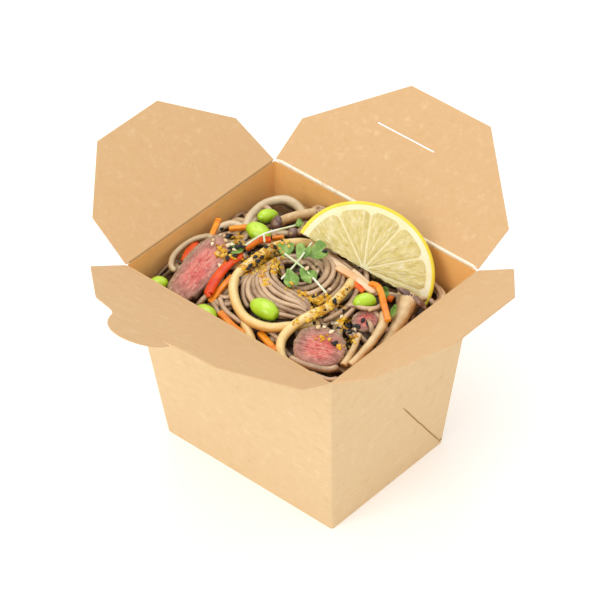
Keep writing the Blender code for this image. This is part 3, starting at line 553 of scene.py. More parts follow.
noodles = {
    # the mass painted near black as the shade in the gaps: how far it lies under the top, and the height at
    # which its rim is measured
    "core": {"columns": 70, "rows": 58, "depth": 4.6, "lumps": 1.6, "foot": 0.9, "clear": 1.2,
             "level": 92.0, "skirt": 50.0},
    "udonRadius": 2.2,
    "sobaRadius": 1.22,
    "thin": {"smallArch": 0.86, "backWall": 0.9},
    "thick": {"leftRing": 1.15, "bundleLow": 1.12, "rightInner": 1.15, "rightSecond": 1.1,
              "cornerGrey": 1.2},
    "grey": ("backArch", "smallArch", "backWall", "backRight", "rightWall", "leftRing"),
    # thick pale noodles, each a line of places in millimetres
    "udon": {
        "centreLoop": [
            (1.0, 14.6, 98.6), (-7.4, 12.7, 101.9), (-12.5, 6.6, 103.3), (-15.7, -1.1, 104.0),
            (-17.0, -12.0, 103.2), (-17.6, -22.2, 101.4), (-13.7, -29.6, 99.8), (-4.6, -36.3, 98.0),
            (4.8, -38.8, 97.4), (14.1, -37.0, 97.9), (20.9, -31.6, 98.9), (25.5, -25.0, 98.0),
            (28.0, -19.0, 96.0)],
        "secondLoop": [
            (21.0, 9.0, 98.4), (24.4, 3.6, 100.9), (26.9, -5.0, 102.2), (27.6, -14.9, 101.9),
            (25.8, -23.6, 102.4), (23.4, -31.6, 100.5), (22.6, -38.5, 96.3), (27.4, -43.6, 92.6),
            (36.0, -44.6, 90.8), (45.0, -42.5, 89.4)],
        "backArch": [
            (-37.0, 3.0, 90.0), (-41.0, 8.0, 92.6), (-45.6, 16.5, 94.4), (-46.2, 26.5, 95.2),
            (-41.4, 34.0, 95.8), (-34.0, 35.0, 95.8), (-26.5, 31.5, 94.6), (-22.0, 27.0, 91.0)],
        "smallArch": [
            (-52.0, -2.0, 89.0), (-52.2, 2.6, 92.6), (-49.3, 8.5, 93.4),
            (-43.8, 9.9, 92.6), (-39.0, 8.0, 90.0)],
        "frontPale": [
            (-1.0, -36.0, 94.2), (2.2, -39.4, 94.6), (7.5, -42.6, 93.6),
            (12.5, -45.4, 91.0), (17.0, -46.0, 88.0)],
        "frontCorner": [(16.0, -45.0, 89.0), (30.0, -45.6, 88.6), (44.0, -44.0, 88.4), (53.4, -37.0, 87.6)],
        "backRight": [
            (22.0, 43.0, 84.5), (36.0, 42.5, 84.5), (47.0, 39.4, 85.6), (53.6, 31.0, 86.4),
            (54.6, 20.0, 86.0)],
        "rightWall": [(54.6, 22.0, 86.6), (55.4, 4.0, 88.8), (54.8, -12.0, 89.2), (53.4, -26.0, 88.8)],
        "backWall": [(-50.0, 41.0, 85.4), (-36.0, 44.0, 85.6), (-18.0, 43.0, 86.2), (0.0, 42.5, 85.4)],
    },
    # thinner brown noodles: height above the heap, then the line in plan
    "soba": {
        "bottomOuter": (-0.3, [
            (-10.5, -19.2), (-6.9, -23.8), (-1.4, -27.5), (4.9, -28.2), (12.3, -26.5), (18.3, -24.5),
            (25.1, -21.6)]),
        "leftOuter": (-0.8, [(-15.0, -12.0), (-13.8, -20.7), (-11.8, -25.1), (-7.5, -29.3), (-2.6, -31.9)]),
        "bundleLow": (0.5, [
            (-7.5, -13.0), (-4.3, -19.2), (2.9, -22.2), (10.1, -22.7), (17.2, -20.8), (24.4, -20.1)]),
        "bundleTop": (1.5, [
            (-6.5, -9.5), (-2.6, -15.5), (4.4, -17.6), (13.5, -19.0), (20.0, -18.9), (25.4, -21.5)]),
        "bundleMiddle": (1.0, [
            (-9.5, -10.0), (-5.0, -17.0), (2.6, -19.6), (11.0, -20.6), (18.4, -19.8), (25.0, -20.6)]),
        "bottomOne": (0.2, [
            (-9.5, -13.0), (-5.7, -20.1), (1.1, -24.5), (7.2, -25.7), (13.7, -24.3), (19.8, -21.2),
            (24.9, -20.7)]),
        "bottomTwo": (-0.5, [
            (-11.0, -13.5), (-8.0, -20.1), (-1.8, -25.1), (4.8, -26.9), (12.1, -25.0), (17.9, -21.5),
            (22.2, -18.9)]),
        "bottomLow": (-1.2, [(5.0, -32.0), (11.1, -29.5), (17.6, -26.2), (22.2, -21.5), (24.1, -18.6)]),
        "bottomBehindBean": (-1.2, [
            (-6.0, -27.0), (0.4, -29.5), (4.9, -29.5), (13.2, -26.4), (20.2, -21.7), (23.5, -19.8)]),
        "rightInner": (0.5, [
            (-5.0, 12.0), (-0.4, 11.7), (5.3, 9.7), (11.6, 3.9), (14.9, -3.1), (14.5, -9.0), (11.0, -12.6),
            (3.7, -10.7)]),
        "rightSecond": (0.8, [
            (-4.0, 13.4), (2.1, 12.0), (8.8, 10.2), (14.7, 4.1), (18.0, -3.5), (18.2, -10.6),
            (15.8, -15.4), (9.0, -16.0)]),
        "rightThird": (0.3, [
            (4.1, 12.9), (11.0, 11.5), (16.2, 6.5), (20.3, -1.6), (21.1, -8.9), (20.6, -14.6),
            (16.0, -18.0)]),
        "rightOuter": (-0.3, [
            (7.1, 13.3), (15.0, 10.1), (19.8, 4.0), (22.2, -1.9), (23.2, -8.8), (22.0, -15.0)]),
        "holeRight": (-1.4, [(6.8, 3.7), (9.4, -3.2), (7.1, -7.0), (2.3, -8.5)]),
        "holeLeft": (-2.4, [(-8.2, -3.9), (-6.2, -5.9), (-1.8, -9.0), (2.5, -8.2)]),
        "holeTop": (-2.0, [(-8.5, -3.4), (-6.4, 3.2), (1.0, 3.8), (7.2, 1.5)]),
        "holeDeep": (-5.5, [(-4.7, -8.0), (-2.7, -6.0), (0.0, -1.5), (5.2, 0.3)]),
        "topOne": (0.8, [
            (-17.6, 2.0), (-15.9, 6.2), (-13.0, 11.0), (-9.3, 14.7), (-3.6, 15.6), (1.8, 14.9)]),
        "topTwo": (0.1, [(-17.8, 0.7), (-15.7, 6.0), (-10.9, 10.8), (-5.3, 13.3), (1.6, 12.6)]),
        "topThree": (0.4, [(-3.0, 15.8), (5.3, 15.4), (11.7, 14.5), (17.9, 13.8)]),
        "leftLow": (-0.5, [(-20.0, -34.7), (-18.1, -36.7), (-14.3, -37.1), (-11.4, -35.3), (-9.8, -32.7)]),
        "leftLowTwo": (-0.8, [(-22.5, -32.0), (-20.5, -33.4), (-16.1, -33.3), (-13.4, -31.2)]),
        "frontLeft": (-0.5, [(-20.0, -37.0), (-16.0, -38.9), (-11.4, -40.9), (-5.8, -42.1), (-1.2, -42.8)]),
        "frontLeftTan": (0.4, [(-17.0, -35.0), (-13.7, -37.1), (-9.1, -39.1), (-4.0, -39.7), (0.9, -40.1)]),
        "frontGrey": (-0.4, [(9.4, -36.6), (13.4, -36.6), (18.2, -37.0), (22.9, -37.3)]),
        "underSecond": (-0.4, [
            (25.6, 8.0), (28.4, 3.5), (30.7, -2.3), (31.5, -8.2), (31.4, -15.2), (30.0, -20.0)]),
        "underSecondLow": (-1.6, [(30.0, 6.0), (33.0, 0.5), (34.0, -6.2), (34.0, -13.2)]),
        "underBean": (-0.3, [(30.3, -5.7), (33.3, -3.4), (39.1, -2.9), (42.1, 1.2), (41.2, 6.7)]),
        "cornerGrey": (0.6, [(30.2, -42.0), (35.2, -41.6), (41.8, -40.0), (47.8, -36.9), (50.1, -32.6)]),
        "cornerPale": (-0.2, [(42.0, -42.2), (47.3, -41.3), (51.4, -39.7), (53.5, -36.5)]),
        "leftRing": (1.8, [
            (-45.6, -8.0), (-49.6, -7.4), (-54.0, -11.3), (-55.2, -17.4), (-53.7, -25.0), (-49.6, -31.2),
            (-45.0, -33.6)]),
        "backCurl": (0.9, [(-20.4, 37.0), (-26.8, 38.8), (-27.6, 42.3), (-23.8, 43.9), (-19.3, 42.4)]),
        "backCurlTwo": (0.1, [(-18.2, 36.0), (-26.0, 38.4), (-26.6, 41.6), (-21.4, 43.6)]),
        "rightBack": (0.5, [(34.0, 43.0), (39.5, 41.7), (45.8, 39.4), (49.8, 36.0), (51.5, 28.8)]),
    },
    # the broad peach-coloured bands that run from the nest to the right
    "peach": {
        "peachBand": (1.0, [
            (-3.5, 14.2), (0.7, 13.6), (7.0, 12.2), (13.3, 11.4), (19.4, 10.8), (25.6, 10.0),
            (35.0, 9.0)]),
        "peachTwo": (0.2, [
            (8.0, 13.6), (11.9, 13.0), (17.7, 13.6), (23.7, 13.0), (29.7, 11.4), (35.6, 9.6)]),
    },
    # short lengths at random: plan reach, radius, bend radius, turn, depth under the top
    "filler": {"count": 120, "seed": 23, "reach": (62.0, 52.0), "radius": (1.1, 1.5), "arc": (14.0, 42.0),
               "sweep": (0.9, 2.6), "middleArc": 18.0, "depth": (-2.6, -0.5), "places": 9,
               "paleShare": 0.22, "paleSize": 1.45, "shortest": 6.0},
    # rings round the hollow: how deep each layer lies, the smallest ring and the steps between them
    "twirl": {"seed": 5, "drops": (0.2, 2.0), "rings": 7, "smallest": 9.3, "ringStep": 1.55,
              "layerStep": 0.7, "stray": 0.35, "aside": 1.3, "swing": (0.5, 1.3), "turn": (2.0, 3.4),
              "places": 12, "spiral": 1.3, "radius": (1.15, 1.5)},
}


def smoothLine(points, step):
    # places about one step apart on a smooth curve through the points
    points = [Vector(point) for point in points]
    line = []
    for index in range(len(points) - 1):
        start, end = points[index], points[index + 1]
        before = points[index - 1] if index else start * 2.0 - end
        after = points[index + 2] if index + 2 < len(points) else end * 2.0 - start
        pieces = max(1, round((end - start).length / step))
        for piece in range(pieces):
            t = piece / pieces
            line.append(0.5 * (
                2.0 * start + (end - before) * t
                + (2.0 * before - 5.0 * start + 4.0 * end - after) * t ** 2
                + (3.0 * start - 3.0 * end - before + after) * t ** 3))
    line.append(points[-1])
    return line


def sectionCurve(name, points):
    # a closed outline in millimetres that strands are swept with
    bpy.ops.curve.primitive_bezier_circle_add(radius=mm)
    section = bpy.context.object
    section.name = name
    section.data.splines.clear()
    outline = section.data.splines.new("POLY")
    outline.points.add(len(points) - 1)
    for point, (across, up) in zip(outline.points, points):
        point.co = (across * mm, up * mm, 0.0, 1.0)
    outline.use_cyclic_u = True
    return section


def ringSection(name, sides, power=2.0, squash=1.0):
    # round at power 2, squarer above it
    points = []
    for index in range(sides):
        turn = math.tau * (index + 0.5) / sides
        across, up = math.cos(turn), math.sin(turn)
        size = (abs(across) ** power + abs(up) ** power) ** (-1.0 / power)
        points.append((across * size, up * size * squash))
    return sectionCurve(name, points)


def sweep(name, line, section, radii, tone, tilt=0.0):
    # a strand along the line; radii scale the section at every place of the line
    bpy.ops.curve.primitive_nurbs_path_add(radius=mm)
    strand = bpy.context.object
    strand.name = name
    shape = strand.data
    shape.splines.clear()
    spline = shape.splines.new("POLY")
    spline.points.add(len(line) - 1)
    for index, (point, place) in enumerate(zip(spline.points, line)):
        point.co = (*(place * mm), 1.0)
        point.radius = radii[index]
        point.tilt = tilt[index] if isinstance(tilt, list) else tilt
    shape.bevel_mode = "OBJECT"
    shape.bevel_object = section
    shape.use_fill_caps = True
    shape.twist_mode = "Z_UP"
    only(strand)
    bpy.ops.object.convert(target="MESH")
    strand = bpy.context.object
    attributeFrom(strand, "tone", [tone] * len(strand.data.vertices))
    return strand


def roundEnds(line, radius, waver, seed):
    # full size along the line and rounded off at both ends
    run = [0.0]
    for first, second in zip(line, line[1:]):
        run.append(run[-1] + (second - first).length)
    radii = []
    for distance in run:
        end = min(distance, run[-1] - distance)
        shape = math.sqrt(max(0.0, 1.0 - (1.0 - min(1.0, end / radius)) ** 2))
        wave = 1.0 + waver * noise.noise((distance * 0.12, seed, 0.0))
        radii.append(max(0.06, shape) * radius * wave)
    return radii


def denseEnds(line, radius):
    # two extra places near each end, so that the rounding has something to bend
    first, last = line[0], line[-1]
    ahead = (line[1] - first).normalized()
    behind = (line[-2] - last).normalized()
    return ([first, first + ahead * radius * 0.12, first + ahead * radius * 0.45] + line[1:-1]
            + [last + behind * radius * 0.45, last + behind * radius * 0.12, last])


def strandAlong(name, points, section, radius, tone, step=1.5, waver=0.05):
    line = denseEnds(smoothLine(points, step), radius)
    return sweep(name, line, section, roundEnds(line, radius, waver, tone * 37.0), tone)


def kept(x, y, z, margin):
    # a place moved inside the walls
    reachX, reachY = wallReach(z)
    return (max(margin - reachX, min(reachX - margin, x)), max(margin - reachY, min(reachY - margin, y)), z)


def fillerStrands(section):
    # short lengths of noodle at random, lying over the whole heap under what is seen on top
    choice = noodles["filler"]
    rng = random.Random(choice["seed"])
    brown, pale = [], []
    for _ in range(choice["count"]):
        centre = [rng.uniform(-reach, reach) for reach in choice["reach"]]
        arc = rng.uniform(*choice["arc"])
        start = rng.uniform(0.0, math.tau)
        turn = rng.uniform(*choice["sweep"]) * choice["middleArc"] / arc
        depth = rng.uniform(*choice["depth"])
        radius = rng.uniform(*choice["radius"])
        phase = rng.uniform(0.0, math.tau)
        isPale = rng.random() < choice["paleShare"]
        tone = rng.random()
        points = []
        inHollow = False
        for step in range(choice["places"]):
            angle = start + turn * step / (choice["places"] - 1)
            x = centre[0] + arc * math.cos(angle)
            y = centre[1] + arc * math.sin(angle)
            x, y = kept(x, y, 90.0, radius + 0.6)[:2]
            lift = depth + 0.9 * math.sin(phase + step * 1.3)
            nearWall = max(abs(x) / heap["rim"][0], abs(y) / heap["rim"][1])
            lift -= heap["sink"] * smoothStep(nearWall, 0.75, 1.0)
            inHollow = inHollow or hollowDrop(x, y) > 0.8
            points.append(kept(x, y, topHeight(x, y) + lift - radius, radius + 0.6))
        if inHollow or (Vector(points[0]) - Vector(points[-1])).length < choice["shortest"]:
            continue
        if isPale:
            radius *= choice["paleSize"]
        made = strandAlong("filler", points, section, radius, tone, 2.2)
        (pale if isPale else brown).append(made)
    return brown, pale


def nestStrands(section):
    # rings of thin noodle that twirl round the hollow, under the listed ones
    choice = noodles["twirl"]
    rng = random.Random(choice["seed"])
    made = []
    for layer, drop in enumerate(choice["drops"]):
        for index in range(2 - layer, choice["rings"]):
            radius = choice["smallest"] + choice["ringStep"] * index + choice["layerStep"] * layer
            radius += rng.uniform(-choice["stray"], choice["stray"])
            aside = [rng.uniform(-choice["aside"], choice["aside"]) for _ in range(2)]
            swing = rng.uniform(*choice["swing"])
            start = rng.uniform(0.0, math.tau)
            turn = rng.uniform(*choice["turn"])
            outermost = index / (choice["rings"] - 1)
            points = []
            for step in range(choice["places"]):
                share = step / (choice["places"] - 1)
                angle = start + turn * share
                here = radius * (1.0 + 0.07 * math.sin(2.0 * angle + index)) + choice["spiral"] * share
                x = lerp(heap["hollow"][0], heap["nest"][0], outermost) + here * math.cos(angle) + aside[0]
                y = lerp(heap["hollow"][1], heap["nest"][1], outermost) + here * math.sin(angle) + aside[1]
                z = topHeight(x, y) - drop + swing * math.sin(2.0 * angle + 2.0 * index)
                z -= noodles["sobaRadius"] + hollowDrop(x, y)
                points.append((x, y, z))
            made.append(strandAlong("nest", points, section, rng.uniform(*choice["radius"]), rng.random()))
    return made


def makeCore():
    # the lumpy mass between and under the strands, painted near black as the shade seen in the gaps
    core = noodles["core"]
    bpy.ops.mesh.primitive_grid_add(
        x_subdivisions=core["columns"], y_subdivisions=core["rows"], size=2.0 * mm)
    mound = bpy.context.object

    def raiseTop(spot):
        z = core["level"]
        for _ in range(2):
            reachX, reachY = wallReach(z)
            x, y = spot.x * (reachX - core["clear"]), spot.y * (reachY - core["clear"])
            lump = noise.noise((x * 0.16, y * 0.16, 3.0)) + 0.5 * noise.noise((x * 0.4, y * 0.4, 7.0))
            nearWall = max(abs(spot.x), abs(spot.y))
            z = topHeight(x, y) - core["depth"] + core["lumps"] * lump - hollowDrop(x, y)
            z -= heap["sink"] * smoothStep(nearWall, 0.75, 1.0)
        return (x, y, z)

    reshape(mound, raiseTop)
    only(mound)
    edgeUse = {}
    for face in mound.data.polygons:
        for key in face.edge_keys:
            edgeUse[key] = edgeUse.get(key, 0) + 1
    bpy.ops.object.mode_set(mode="EDIT")
    bpy.ops.mesh.select_mode(type="EDGE")
    bpy.ops.mesh.select_all(action="DESELECT")
    bpy.ops.object.mode_set(mode="OBJECT")
    for edge in mound.data.edges:
        edge.select = edgeUse[edge.key] == 1
    bpy.ops.object.mode_set(mode="EDIT")
    bpy.ops.mesh.extrude_region_move(TRANSFORM_OT_translate={"value": (0.0, 0.0, -core["skirt"] * mm)})
    bpy.ops.mesh.edge_face_add()
    bpy.ops.mesh.select_mode(type="VERT")
    bpy.ops.object.mode_set(mode="OBJECT")

    def lowerFoot(spot):
        if spot.z > 60.0:
            return spot
        topX, topY = wallReach(core["level"])
        footX, footY = wallReach(core["foot"])
        return (spot.x * footX / topX, spot.y * footY / topY, core["foot"])

    reshape(mound, lowerFoot)
    closeUp(mound, 60.0)
    mound.name = "noodle_mass"
    paint = Paint("noodle_mass", {"Coat Roughness": 0.25})
    place = paint.place()
    grain = paint.stretched(place, (420.0, 160.0, 420.0), (0.0, 0.0, 0.6))
    streaks = paint.speckle(grain, 1.0, 3.0, 0.6, 0.8)
    # near-black browns: painted shade between the strands
    colour = paint.ramp(streaks, [(0.32, (0.030, 0.014, 0.006)), (0.55, (0.085, 0.045, 0.020)),
                                  (0.75, (0.20, 0.12, 0.06))])
    served(mound, "noodle", paint.finish(colour, 0.38, streaks, 0.9, 0.8), "noodles")


def noodlePaint(name, shadow, body, shine, fleck, fleckAmount, roughness):
    # painted shade towards the underside and deeper in the heap, painted highlight on top, streaked along
    # the strand and a little different on each
    paint = foodPaint(name, 0.12, (1.0, 0.5, 0.25), 1.5, 0.22, 0.22, 0.45)
    place = paint.place()
    facingUp = paint.normal()[2]
    tone = paint.attribute("tone")
    soft = paint.speckle(place, 140.0, 3.0, 0.55)
    fine = paint.speckle(place, 900.0, 3.0, 0.6)
    # facingUp lightens tops and darkens undersides: painted highlight and painted shade
    lift = facingUp * 0.46 + 0.40 + (soft - 0.5) * 0.75 + (tone - 0.5) * 0.36 + (fine - 0.5) * 0.22
    # deep darkens strands lower in the heap: painted shade
    lift = lift - paint.attribute("deep") * 0.62
    colour = paint.ramp(lift, [(0.05, shadow), (0.50, body), (0.95, shine)])
    specks = paint.between(paint.cells(place, 620.0), 0.20, 0.10) * fleckAmount
    colour = paint.mix(specks, colour, fleck)
    height = fine * 0.5 + soft * 0.5
    return paint.finish(colour, (fine - 0.5) * 0.16 + roughness, height, 0.12, 0.5)


def depthShaded(strands, name):
    # one piece of many strands, marked with how deep in the heap each place lies, for painted shade deeper
    # down
    piece = joinAll(strands, name)
    deep = []
    for vertex in piece.data.vertices:
        x, y, z = vertex.co / mm
        deep.append(smoothStep(topHeight(x, y) + 0.5 - z, 1.2, 6.5))
    attributeFrom(piece, "deep", deep)
    return piece


def makeNoodles():
    makeCore()
    roundSection = ringSection("section_round", 12)
    squareSection = ringSection("section_squarish", 10, 2.5, 0.92)
    bandSection = ringSection("section_band", 12, 2.2, 0.48)
    udon, greyUdon = [], []
    for index, (name, points) in enumerate(noodles["udon"].items()):
        radius = noodles["udonRadius"] * noodles["thin"].get(name, 1.0)
        made = strandAlong(name, points, roundSection, radius, 0.35 + 0.11 * (index * 3 % 5), 1.2, 0.06)
        (greyUdon if name in noodles["grey"] else udon).append(made)
    brown, pale = fillerStrands(squareSection)
    soba = []
    for index, (name, (lift, route)) in enumerate(noodles["soba"].items()):
        radius = noodles["sobaRadius"] * (1.0 + 0.08 * math.sin(index * 2.3))
        points = [kept(x, y, topHeight(x, y) + lift, radius + 0.4) for x, y in route]
        radius *= noodles["thick"].get(name, 1.0)
        made = strandAlong(name, points, squareSection, radius, (index * 0.37) % 1.0, 1.2)
        (greyUdon if name in noodles["grey"] else soba).append(made)
    soba.extend(nestStrands(squareSection))
    peach = []
    for name, (lift, route) in noodles["peach"].items():
        points = [kept(x, y, topHeight(x, y) + lift, 2.4) for x, y in route]
        peach.append(strandAlong(name, points, bandSection, 1.9, 0.6, 1.2))
    udonPaint = noodlePaint("udon", (0.42, 0.17, 0.022), (0.77, 0.49, 0.150), (0.93, 0.71, 0.33),
                            (0.45, 0.24, 0.08), 0.20, 0.30)
    sobaPaint = noodlePaint("soba", (0.060, 0.026, 0.010), (0.29, 0.160, 0.077), (0.69, 0.475, 0.295),
                            (0.08, 0.038, 0.018), 0.55, 0.34)
    palePaint = noodlePaint("pale_noodle", (0.16, 0.085, 0.035), (0.42, 0.28, 0.14), (0.64, 0.48, 0.28),
                            (0.16, 0.09, 0.05), 0.35, 0.34)
    peachPaint = noodlePaint("peach_noodle", (0.50, 0.22, 0.09), (0.76, 0.44, 0.22), (0.90, 0.66, 0.42),
                             (0.50, 0.24, 0.10), 0.20, 0.32)
    greyPaint = noodlePaint("grey_noodle", (0.20, 0.115, 0.045), (0.50, 0.36, 0.195), (0.74, 0.59, 0.38),
                            (0.22, 0.13, 0.06), 0.30, 0.32)
    served(depthShaded(udon, "udon_noodles"), "noodle", udonPaint)
    served(depthShaded(greyUdon, "grey_udon_noodles"), "noodle", greyPaint)
    served(depthShaded(soba, "soba_noodles"), "noodle", sobaPaint)
    served(depthShaded(brown, "soba_under"), "noodle", sobaPaint)
    served(depthShaded(pale, "udon_under"), "noodle", palePaint)
    served(depthShaded(peach, "peach_noodles"), "noodle", peachPaint)
    for section in (roundSection, squareSection, bandSection):
        bpy.data.objects.remove(section)


# Toppings, at the places that the solids have

beef = {
    # half sizes, thickness, centre of the cut face, its normal, the way of its length, squareness
    "slices": {
        "beef_left": ((20.4, 9.6), 9.0, (-36.7, -26.8, 97.8), (-0.06, -0.22, 0.97), (0.16, -1.0, -0.1), 2.6),
        "beef_front": ((11.5, 9.6), 9.0, (38.7, -32.0, 97.9), (0.26, -0.36, 0.90), (0.9, 0.42, 0.0), 2.3),
        "beef_back": ((6.0, 5.4), 6.5, (41.6, -5.4, 97.0), (0.22, -0.30, 0.93), (0.55, 0.83, 0.0), 2.2),
    },
    # the way, across each slice, in which its seared side lies, darkened further there as painted shade
    "browned": {"beef_left": (0.35, 0.94), "beef_front": (0.35, -0.94), "beef_back": (0.9, -0.4)},
    "grain": 0.42,       # size of the remeshed faces
    "ragged": 0.075,
    "bulge": 0.6,
}


def makeBeef():
    material = beefPaint()
    for index, (name, cut) in enumerate(beef["slices"].items()):
        half, thickness, centre, normal, along, power = cut
        bpy.ops.mesh.primitive_circle_add(vertices=120, radius=mm, fill_type="NGON")
        slab = bpy.context.object
        only(slab)

        def outline(spot):
            flat = math.hypot(spot.x, spot.y)
            across, up = spot.x / flat, spot.y / flat
            size = (abs(across) ** power + abs(up) ** power) ** (-1.0 / power)
            rough = noise.noise((across * 2.1, up * 2.1, index * 5.0))
            size *= 1.0 + beef["ragged"] * (rough + 0.7 * noise.noise((across * 7.0, up * 7.0, 1.0)))
            return (across * size * half[0], up * size * half[1], 0.0)

        reshape(slab, outline)
        bpy.ops.object.mode_set(mode="EDIT")
        bpy.ops.mesh.select_all(action="SELECT")
        bpy.ops.mesh.extrude_region_move(TRANSFORM_OT_translate={"value": (0.0, 0.0, -thickness * mm)})
        bpy.ops.mesh.select_all(action="SELECT")
        bpy.ops.mesh.normals_make_consistent(inside=False)
        bpy.ops.object.mode_set(mode="OBJECT")
        bpy.ops.object.modifier_add(type="REMESH")
        slab.modifiers["Remesh"].mode = "VOXEL"
        slab.modifiers["Remesh"].voxel_size = beef["grain"] * mm
        bpy.ops.object.modifier_apply(modifier="Remesh")

        def rimDistance(spot):
            # 0 on the rim, 1 in the middle
            share = (abs(spot.x / half[0]) ** power + abs(spot.y / half[1]) ** power) ** (1.0 / power)
            return 1.0 - share

        wayX, wayY = beef["browned"][name]
        spots = [vertex.co / mm for vertex in slab.data.vertices]
        marks = {
            "core": [rimDistance(spot) for spot in spots],
            "depth": [-spot.z / thickness for spot in spots],
            "browned": [wayX * spot.x / half[0] + wayY * spot.y / half[1] for spot in spots],
            "length": [spot.x for spot in spots],
            "width": [spot.y for spot in spots],
        }
        for mark, values in marks.items():
            attributeFrom(slab, mark, values)

        def weather(spot):
            # muscle bundles on the cut face, a rounded crumbly edge and a narrower foot
            core = rimDistance(spot)
            edge = smoothStep(core, 0.0, 0.16)
            upper = smoothStep(spot.z, -thickness * 0.5, 0.0)
            bundle = noise.noise((spot.x * 0.35, spot.y * 0.16, index * 3.0))
            crumb = noise.noise(spot * 0.9) + 0.6 * noise.noise(spot * 2.1)
            rise = upper * (beef["bulge"] * bundle + 0.20 * crumb * (1.4 - edge) - 0.9 * (1.0 - edge) ** 2)
            rise += upper * 0.12 * noise.noise((spot.x * 2.6 + spot.y, spot.y * 0.5, 4.0))
            inward = 1.0 - 0.08 * (1.0 - upper) - 0.02 * crumb * (1.0 - edge)
            return (spot.x * inward, spot.y * inward, spot.z + rise)

        reshape(slab, weather)
        placing = standing(centre, normal, along)
        reshape(slab, lambda spot: placing @ spot)
        closeUp(slab, 80.0)
        slab.name = name + "_slice"
        served(slab, "beef", material, name)


def beefPaint():
    paint = foodPaint("beef", 0.10, (1.0, 0.35, 0.25), 2.0, 0.18, 0.30, 0.4)
    place = paint.place()
    core, depth, browned = paint.attribute("core"), paint.attribute("depth"), paint.attribute("browned")
    length, width = paint.attribute("length"), paint.attribute("width")
    run = paint.node("ShaderNodeCombineXYZ", sockets={0: length * 0.16, 1: width * 1.15, 2: depth * 3.0})
    threads = paint.speckle(run, 1.0, 4.0, 0.66, 0.9)
    bundles = paint.cells(run, 0.55, "DISTANCE_TO_EDGE")
    patches = paint.speckle(place, 190.0, 4.0, 0.60, 1.1)
    fine = paint.speckle(place, 1100.0, 3.0, 0.6)
    pink = paint.ramp(patches * 0.55 + threads * 0.45, [
        (0.34, (0.40, 0.050, 0.044)), (0.45, (0.63, 0.100, 0.085)), (0.54, (0.76, 0.200, 0.160)),
        (0.66, (0.72, 0.300, 0.225))])
    mauve = paint.ramp(patches * 0.4 + threads * 0.6, [
        (0.36, (0.24, 0.072, 0.050)), (0.50, (0.46, 0.190, 0.140)), (0.62, (0.62, 0.340, 0.255))])
    pink = paint.mix(paint.between(threads, 0.53, 0.66) * 0.60, pink, (0.76, 0.40, 0.30))
    pink = paint.mix(paint.between(threads, 0.46, 0.33) * 0.60, pink, (0.28, 0.060, 0.045))
    pink = paint.mix(paint.between(bundles, 0.07, 0.0) * 0.40, pink, (0.78, 0.50, 0.38))
    grey = paint.ramp(fine * 0.6 + threads * 0.4, [
        (0.32, (0.150, 0.070, 0.036)), (0.50, (0.38, 0.225, 0.135)), (0.64, (0.60, 0.42, 0.28))])
    inner = core + browned * 0.12 + (patches - 0.5) * 0.46 + (fine - 0.5) * 0.10
    colour = paint.mix(paint.between(inner, 0.26, 0.62), mauve, pink)
    colour = paint.mix(paint.between(inner, 0.02, 0.24), grey, colour)
    flank = paint.between(depth + (patches - 0.5) * 0.10, 0.10, 0.24)
    colour = paint.mix(flank, colour, (0.105, 0.040, 0.018))
    # one side of each rim is seared and darkened further: sear plus painted shade
    searShade = paint.between(browned - core * 2.6 + (patches - 0.5) * 0.7, 0.52, 0.82) * 0.88
    colour = paint.mix(searShade, colour, (0.105, 0.045, 0.022))
    height = threads * 1.1 + fine * 0.3 + patches * 0.6
    return paint.finish(colour, (fine - 0.5) * 0.3 + 0.40, height, 0.55, 0.9)


lemon = {
    "radius": 32.3,
    "squash": 0.895,     # the wheel is a little flatter than round
    "thickness": 5.6,
    "centre": (19.7, 18.8, 98.5),
    "normal": (0.512, -0.561, 0.651),
    "cutLine": (0.859, 0.328, -0.393),
    "steps": (260, 84),
    "rind": 1.6,         # coloured skin, then white pith inside it
    "pith": 2.3,
    "membranes": (9.0, 43.7, 78.8, 109.7, 141.9),   # degrees from the cut line
    "membraneHalf": 0.28,
    "corner": 3.4,
    "hub": 2.1,
}


def lemonFlesh(turn, radius):
    # how far inside a segment's flesh a place is, in millimetres; below 0 on the white
    edges = [math.radians(angle) for angle in lemon["membranes"]]
    gaps = [abs(math.sin(turn - angle)) * radius for angle in edges if abs(turn - angle) < 1.4]
    gap = min(gaps + [radius])
    side = gap - lemon["membraneHalf"]
    rim = lemon["radius"] - lemon["rind"] - lemon["pith"] - radius
    corner = lemon["corner"]
    if side < corner and rim < corner:
        rounded = corner - math.hypot(corner - side, corner - rim)
    else:
        rounded = min(side, rim)
    return min(rounded, radius - lemon["hub"])


